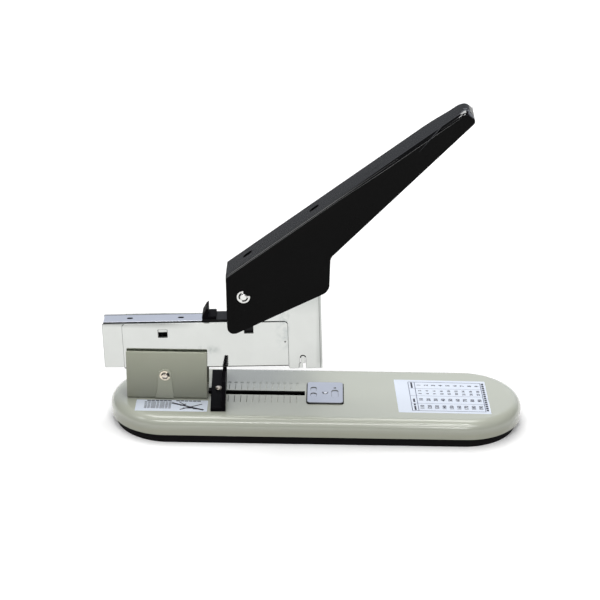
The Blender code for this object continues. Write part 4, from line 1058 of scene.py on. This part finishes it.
def inkLine(bm, start, end, width, low=paper, high=0.1):
    along = (end - start).normalized()
    across = Vector((-along.y, along.x)) * width / 2
    points = [start - across, end - across, end + across, start + across]
    addTo(bm, cutSheet([(*point, 0) for point in points], low, high, rounding=0))


def inkText(bm, text, spot, height, turn, low=0.1, bold=0.0):
    curve = bpy.data.curves.new("digits", "FONT")
    curve.body = text
    curve.size = height * 1.4
    curve.offset = bold
    curve.align_x = "CENTER"
    curve.align_y = "CENTER"
    curve.resolution_u = 2
    made = placed("digits", curve)
    bpy.context.view_layer.update()
    mesh = bpy.data.meshes.new_from_object(made.evaluated_get(bpy.context.evaluated_depsgraph_get()))
    bpy.data.objects.remove(made)
    bpy.data.curves.remove(curve)
    mesh.transform(Matrix.Translation((spot.x, spot.y, low)) @ Matrix.Rotation(radians(turn), 4, "Z"))
    bm.from_mesh(mesh)
    bpy.data.meshes.remove(mesh)


def labelLine(bm, label, start, end, width):
    inkLine(bm, onLabel(label, *start), onLabel(label, *end), width)


# the table is ruled in columns and rows, and its numbers turn as on one that is read from the side
table = {
    "columns": (0.153, 0.222, 0.945), "rows": (0.06, 0.28, 0.51, 0.735, 0.935), "thick": 0.55, "thin": 0.3,
    "firstNumber": 0.268, "numberPitch": 0.0795,
    # each row of numbers: its place, their size, and what the first number and the steps come from
    "numbers": ((0.84, 3.1, 0, 1), (0.665, 2.3, 0, 2), (0.58, 2.3, 0, 3), (0.395, 3.1, 0, 10),
                (0.17, 3.1, 100, 10)),
    # each broken line: its place, its width, and where its dashes start and end
    "dashes": ((0.188, 1.5, ((0.08, 0.2), (0.22, 0.27), (0.32, 0.42), (0.75, 0.92))),
               (0.968, 1.9, [(0.08 + 0.062 * i, 0.125 + 0.062 * i) for i in range(14)])),
}
# a plain crossed figure stands where the left label has a drawing: from, to and width
figure = (
    ((0.50, 0.74), (0.95, 0.14), 1.9), ((0.92, 0.66), (0.62, 0.16), 1.2),
    ((0.60, 0.84), (0.76, 0.30), 0.8), ((0.66, 0.30), (0.84, 0.30), 1.3),
    ((0.62, 0.50), (0.70, 0.66), 1.3), ((0.80, 0.24), (0.94, 0.20), 1.2),
)


def makeTable():
    lines = bmesh.new()
    columns, rows = table["columns"], table["rows"]
    low, high = rows[0], rows[-1]
    for u in columns:
        labelLine(lines, rightLabel, (u, low), (u, high), table["thick"])
    for v in rows:
        width = table["thin"] if low < v < high else table["thick"]
        labelLine(lines, rightLabel, (columns[0], v), (columns[-1], v), width)
    finishPiece(lines, "tableLines", topSpot, "base", labelInk, (), 180)
    digits = bmesh.new()
    for step in range(1, 10):
        u = table["firstNumber"] + (step - 1) * table["numberPitch"]
        for v, size, first, gain in table["numbers"]:
            inkText(digits, str(first + gain * step), onLabel(rightLabel, u, v), size, 90, bold=0.16)
    for u, width, dashes in table["dashes"]:
        for start, end in dashes:
            labelLine(digits, rightLabel, (u, start), (u, end), width)
    finishPiece(digits, "tableNumbers", topSpot, "base", darkInk, (), 180)


def makeNotes():
    # short grey dashes stand for the lettering: six rows under a heading of two parts
    notes = bmesh.new()
    for row in range(6):
        v = 0.80 - row * 0.105
        for part in range(9):
            start = 0.12 + part * 0.041 + 0.004 * (part % 3)
            labelLine(notes, leftLabel, (start, v), (start + 0.036, v), 0.9)
    for part in range(13):
        if part != 6:
            start = 0.15 + part * 0.058
            labelLine(notes, leftLabel, (start, 0.93), (start + 0.05, 0.93), 1.5)
    for start, end, width in figure:
        labelLine(notes, leftLabel, start, end, width)
    finishPiece(notes, "notePrint", topSpot, "base", darkInk, (), 180)


# ticks on both sides of the slot: each row from and to, and how wide its lines are
scale = {
    "ticks": 12, "start": -70.7, "pitch": 5, "first": 70, "ink": 0.03,
    "rows": (((4.8, 14.6), 0.45), ((-5.2, -16.1), 0.55)), "numbersAt": 17.0,
}


def makeScale():
    marks = bmesh.new()
    numbers = bmesh.new()
    for i in range(scale["ticks"]):
        x = scale["start"] + scale["pitch"] * i
        for (near, far), width in scale["rows"]:
            inkLine(marks, Vector((x, near)), Vector((x, far)), width, 0.0, scale["ink"])
        value = scale["first"] - scale["pitch"] * i
        inkText(numbers, str(value), Vector((x, scale["numbersAt"])), 1.9, 0, scale["ink"], 0.16)
    finishPiece(marks, "depthScale", topSpot, "base", scaleInk, (), 180)
    finishPiece(numbers, "depthNumbers", topSpot, "base", numberInk, (), 180)


for name, label in (("tableLabel", rightLabel), ("noteLabel", leftLabel)):
    patch = cutSheet([(x, y, 0.6) for x, y in label], 0, paper, rounding=0.02)
    finishPiece(patch, name, topSpot, "base", labelPaper)
makeTable()
makeNotes()
makeScale()
print("labels made")


stage = {
    "floor": "#FFFFFF", "bounce": 0.22, "fill": 0.5, "backdrop": "#EBF0FA",
    # the floor glows to white with distance from the object: from, to and how much
    "liftFrom": 0.25, "liftTo": 2.35, "least": 0.04, "lift": 1.2,
    # mirrors see a pale backdrop behind the object, dimmer at the horizon, and a dark room in front
    "low": 0.0, "high": 0.16, "dim": 0.55, "near": 0.5, "far": 0.85, "room": 0.04,
}


def seenRays(tree):
    # 1 for what the camera, mirrors and clear materials see, 0 for all other light
    path = addNode(tree, "LightPath")
    seen = path.outputs["Is Camera Ray"]
    for ray in ("Is Glossy Ray", "Is Transmission Ray"):
        seen = joined(tree, seen, path.outputs[ray], "MAXIMUM")
    return seen


def emptyTree(owner):
    owner.use_nodes = True
    owner.node_tree.nodes.clear()
    return owner.node_tree


def showBy(tree, output, plain, seen):
    # plain is what lights the object, seen is what the camera and mirrors see
    mix = addNode(tree, "MixShader", None, {0: seenRays(tree), 1: plain.outputs[0], 2: seen.outputs[0]})
    addNode(tree, output, None, {"Surface": mix.outputs[0]})


def makeStage():
    bm = bmesh.new()
    bmesh.ops.create_grid(bm, x_segments=1, y_segments=1, size=6)
    mesh = asMesh(bm, "floor")
    floor = placed("floor", mesh)
    material = bpy.data.materials.new("studioFloor")
    tree = emptyTree(material)
    coords = addNode(tree, "TexCoord").outputs["Object"]
    away = addNode(tree, "VectorMath", {"operation": "LENGTH"}, {0: coords}).outputs["Value"]
    lift = ramped(tree, away, stage["liftFrom"], stage["liftTo"], stage["least"], stage["lift"])
    shown = addNode(tree, "BsdfDiffuse", {"Color": linear(stage["floor"])})
    glow = addNode(tree, "Emission", {"Color": (1, 1, 1, 1)}, {"Strength": lift})
    both = addNode(tree, "AddShader", None, {0: shown.outputs[0], 1: glow.outputs[0]})
    grey = addNode(tree, "BsdfDiffuse", {"Color": (stage["bounce"],) * 3 + (1,)})
    showBy(tree, "OutputMaterial", grey, both)
    mesh.materials.append(material)

    world = bpy.data.worlds.new("studio")
    bpy.context.scene.world = world
    tree = emptyTree(world)
    way = addNode(tree, "TexCoord").outputs["Generated"]
    split = addNode(tree, "SeparateXYZ", None, {"Vector": way})
    rise = ramped(tree, split.outputs["Z"], stage["low"], stage["high"], stage["dim"])
    depth = ramped(tree, split.outputs["Y"], stage["near"], stage["far"], stage["room"])
    camera = addNode(tree, "LightPath").outputs["Is Camera Ray"]
    pale = joined(tree, joined(tree, rise, depth), camera, "MAXIMUM")
    tone = addNode(
        tree, "Mix", {"data_type": "RGBA", 6: linear(stage["backdrop"]), 7: (1, 1, 1, 1)}, {0: camera}
    ).outputs[2]
    white = addNode(tree, "Background", None, {"Color": tone, "Strength": pale})
    fill = addNode(tree, "Background", {"Color": (1, 1, 1, 1), "Strength": stage["fill"]})
    showBy(tree, "OutputWorld", fill, white)


# each lamp: where it hangs, what it faces, its size and its power in watts
lamps = {
    "overhead": ((-0.08, 0.38, 1.3), (0, 0, 0.05), (0.96, 0.7), 8.5),
    "strip": ((0.0, -0.84, 0.97), (0.0, 0, 0.02), (1.1, 0.16), 4.6),
    "front": ((-0.5, -1.1, 1.2), (0, 0, 0.08), (0.7, 0.5), 0.6),
    "left": ((-0.92, -0.46, 0.82), (-0.05, 0, 0.1), (0.3, 0.3), 0.9),
    "high": ((0.2, -0.47, 1.12), (0.12, -0.04, 0.02), (0.1, 0.14), 0.8),
    "low": ((0.2, -1.08, 0.53), (0.12, -0.04, 0.02), (0.1, 0.14), 0.8),
}


def makeLamps():
    for name, (spot, aim, size, power) in lamps.items():
        light = bpy.data.lights.new(name, "AREA")
        light.shape = "RECTANGLE"
        light.size, light.size_y = size
        light.energy = power
        lamp = placed(name, light)
        lamp.location = spot
        lamp.rotation_euler = (Vector(aim) - Vector(spot)).to_track_quat("-Z", "Y").to_euler()


view = {"turn": 0.7, "rise": 25.5, "roll": 0.6, "lens": 114, "spot": (0.002783, -1.357707, 0.753010)}


def makeCamera():
    turn, rise, roll = (radians(view[key]) for key in ("turn", "rise", "roll"))
    ahead = Vector((-sin(turn) * cos(rise), cos(turn) * cos(rise), -sin(rise)))
    level = Vector((cos(turn), sin(turn), 0))
    raised = level.cross(ahead)
    right = cos(roll) * level + sin(roll) * raised
    up = -sin(roll) * level + cos(roll) * raised
    data = bpy.data.cameras.new("photoView")
    data.lens = view["lens"]
    data.sensor_width = 36
    data.clip_end = 20
    camera = placed("photoView", data)
    facing = Matrix((right, up, -ahead)).transposed().to_4x4()
    camera.matrix_world = Matrix.Translation(view["spot"]) @ facing
    bpy.context.scene.camera = camera


makeStage()
makeLamps()
makeCamera()
bpy.context.scene.view_settings.view_transform = "Standard"
print("stage made")
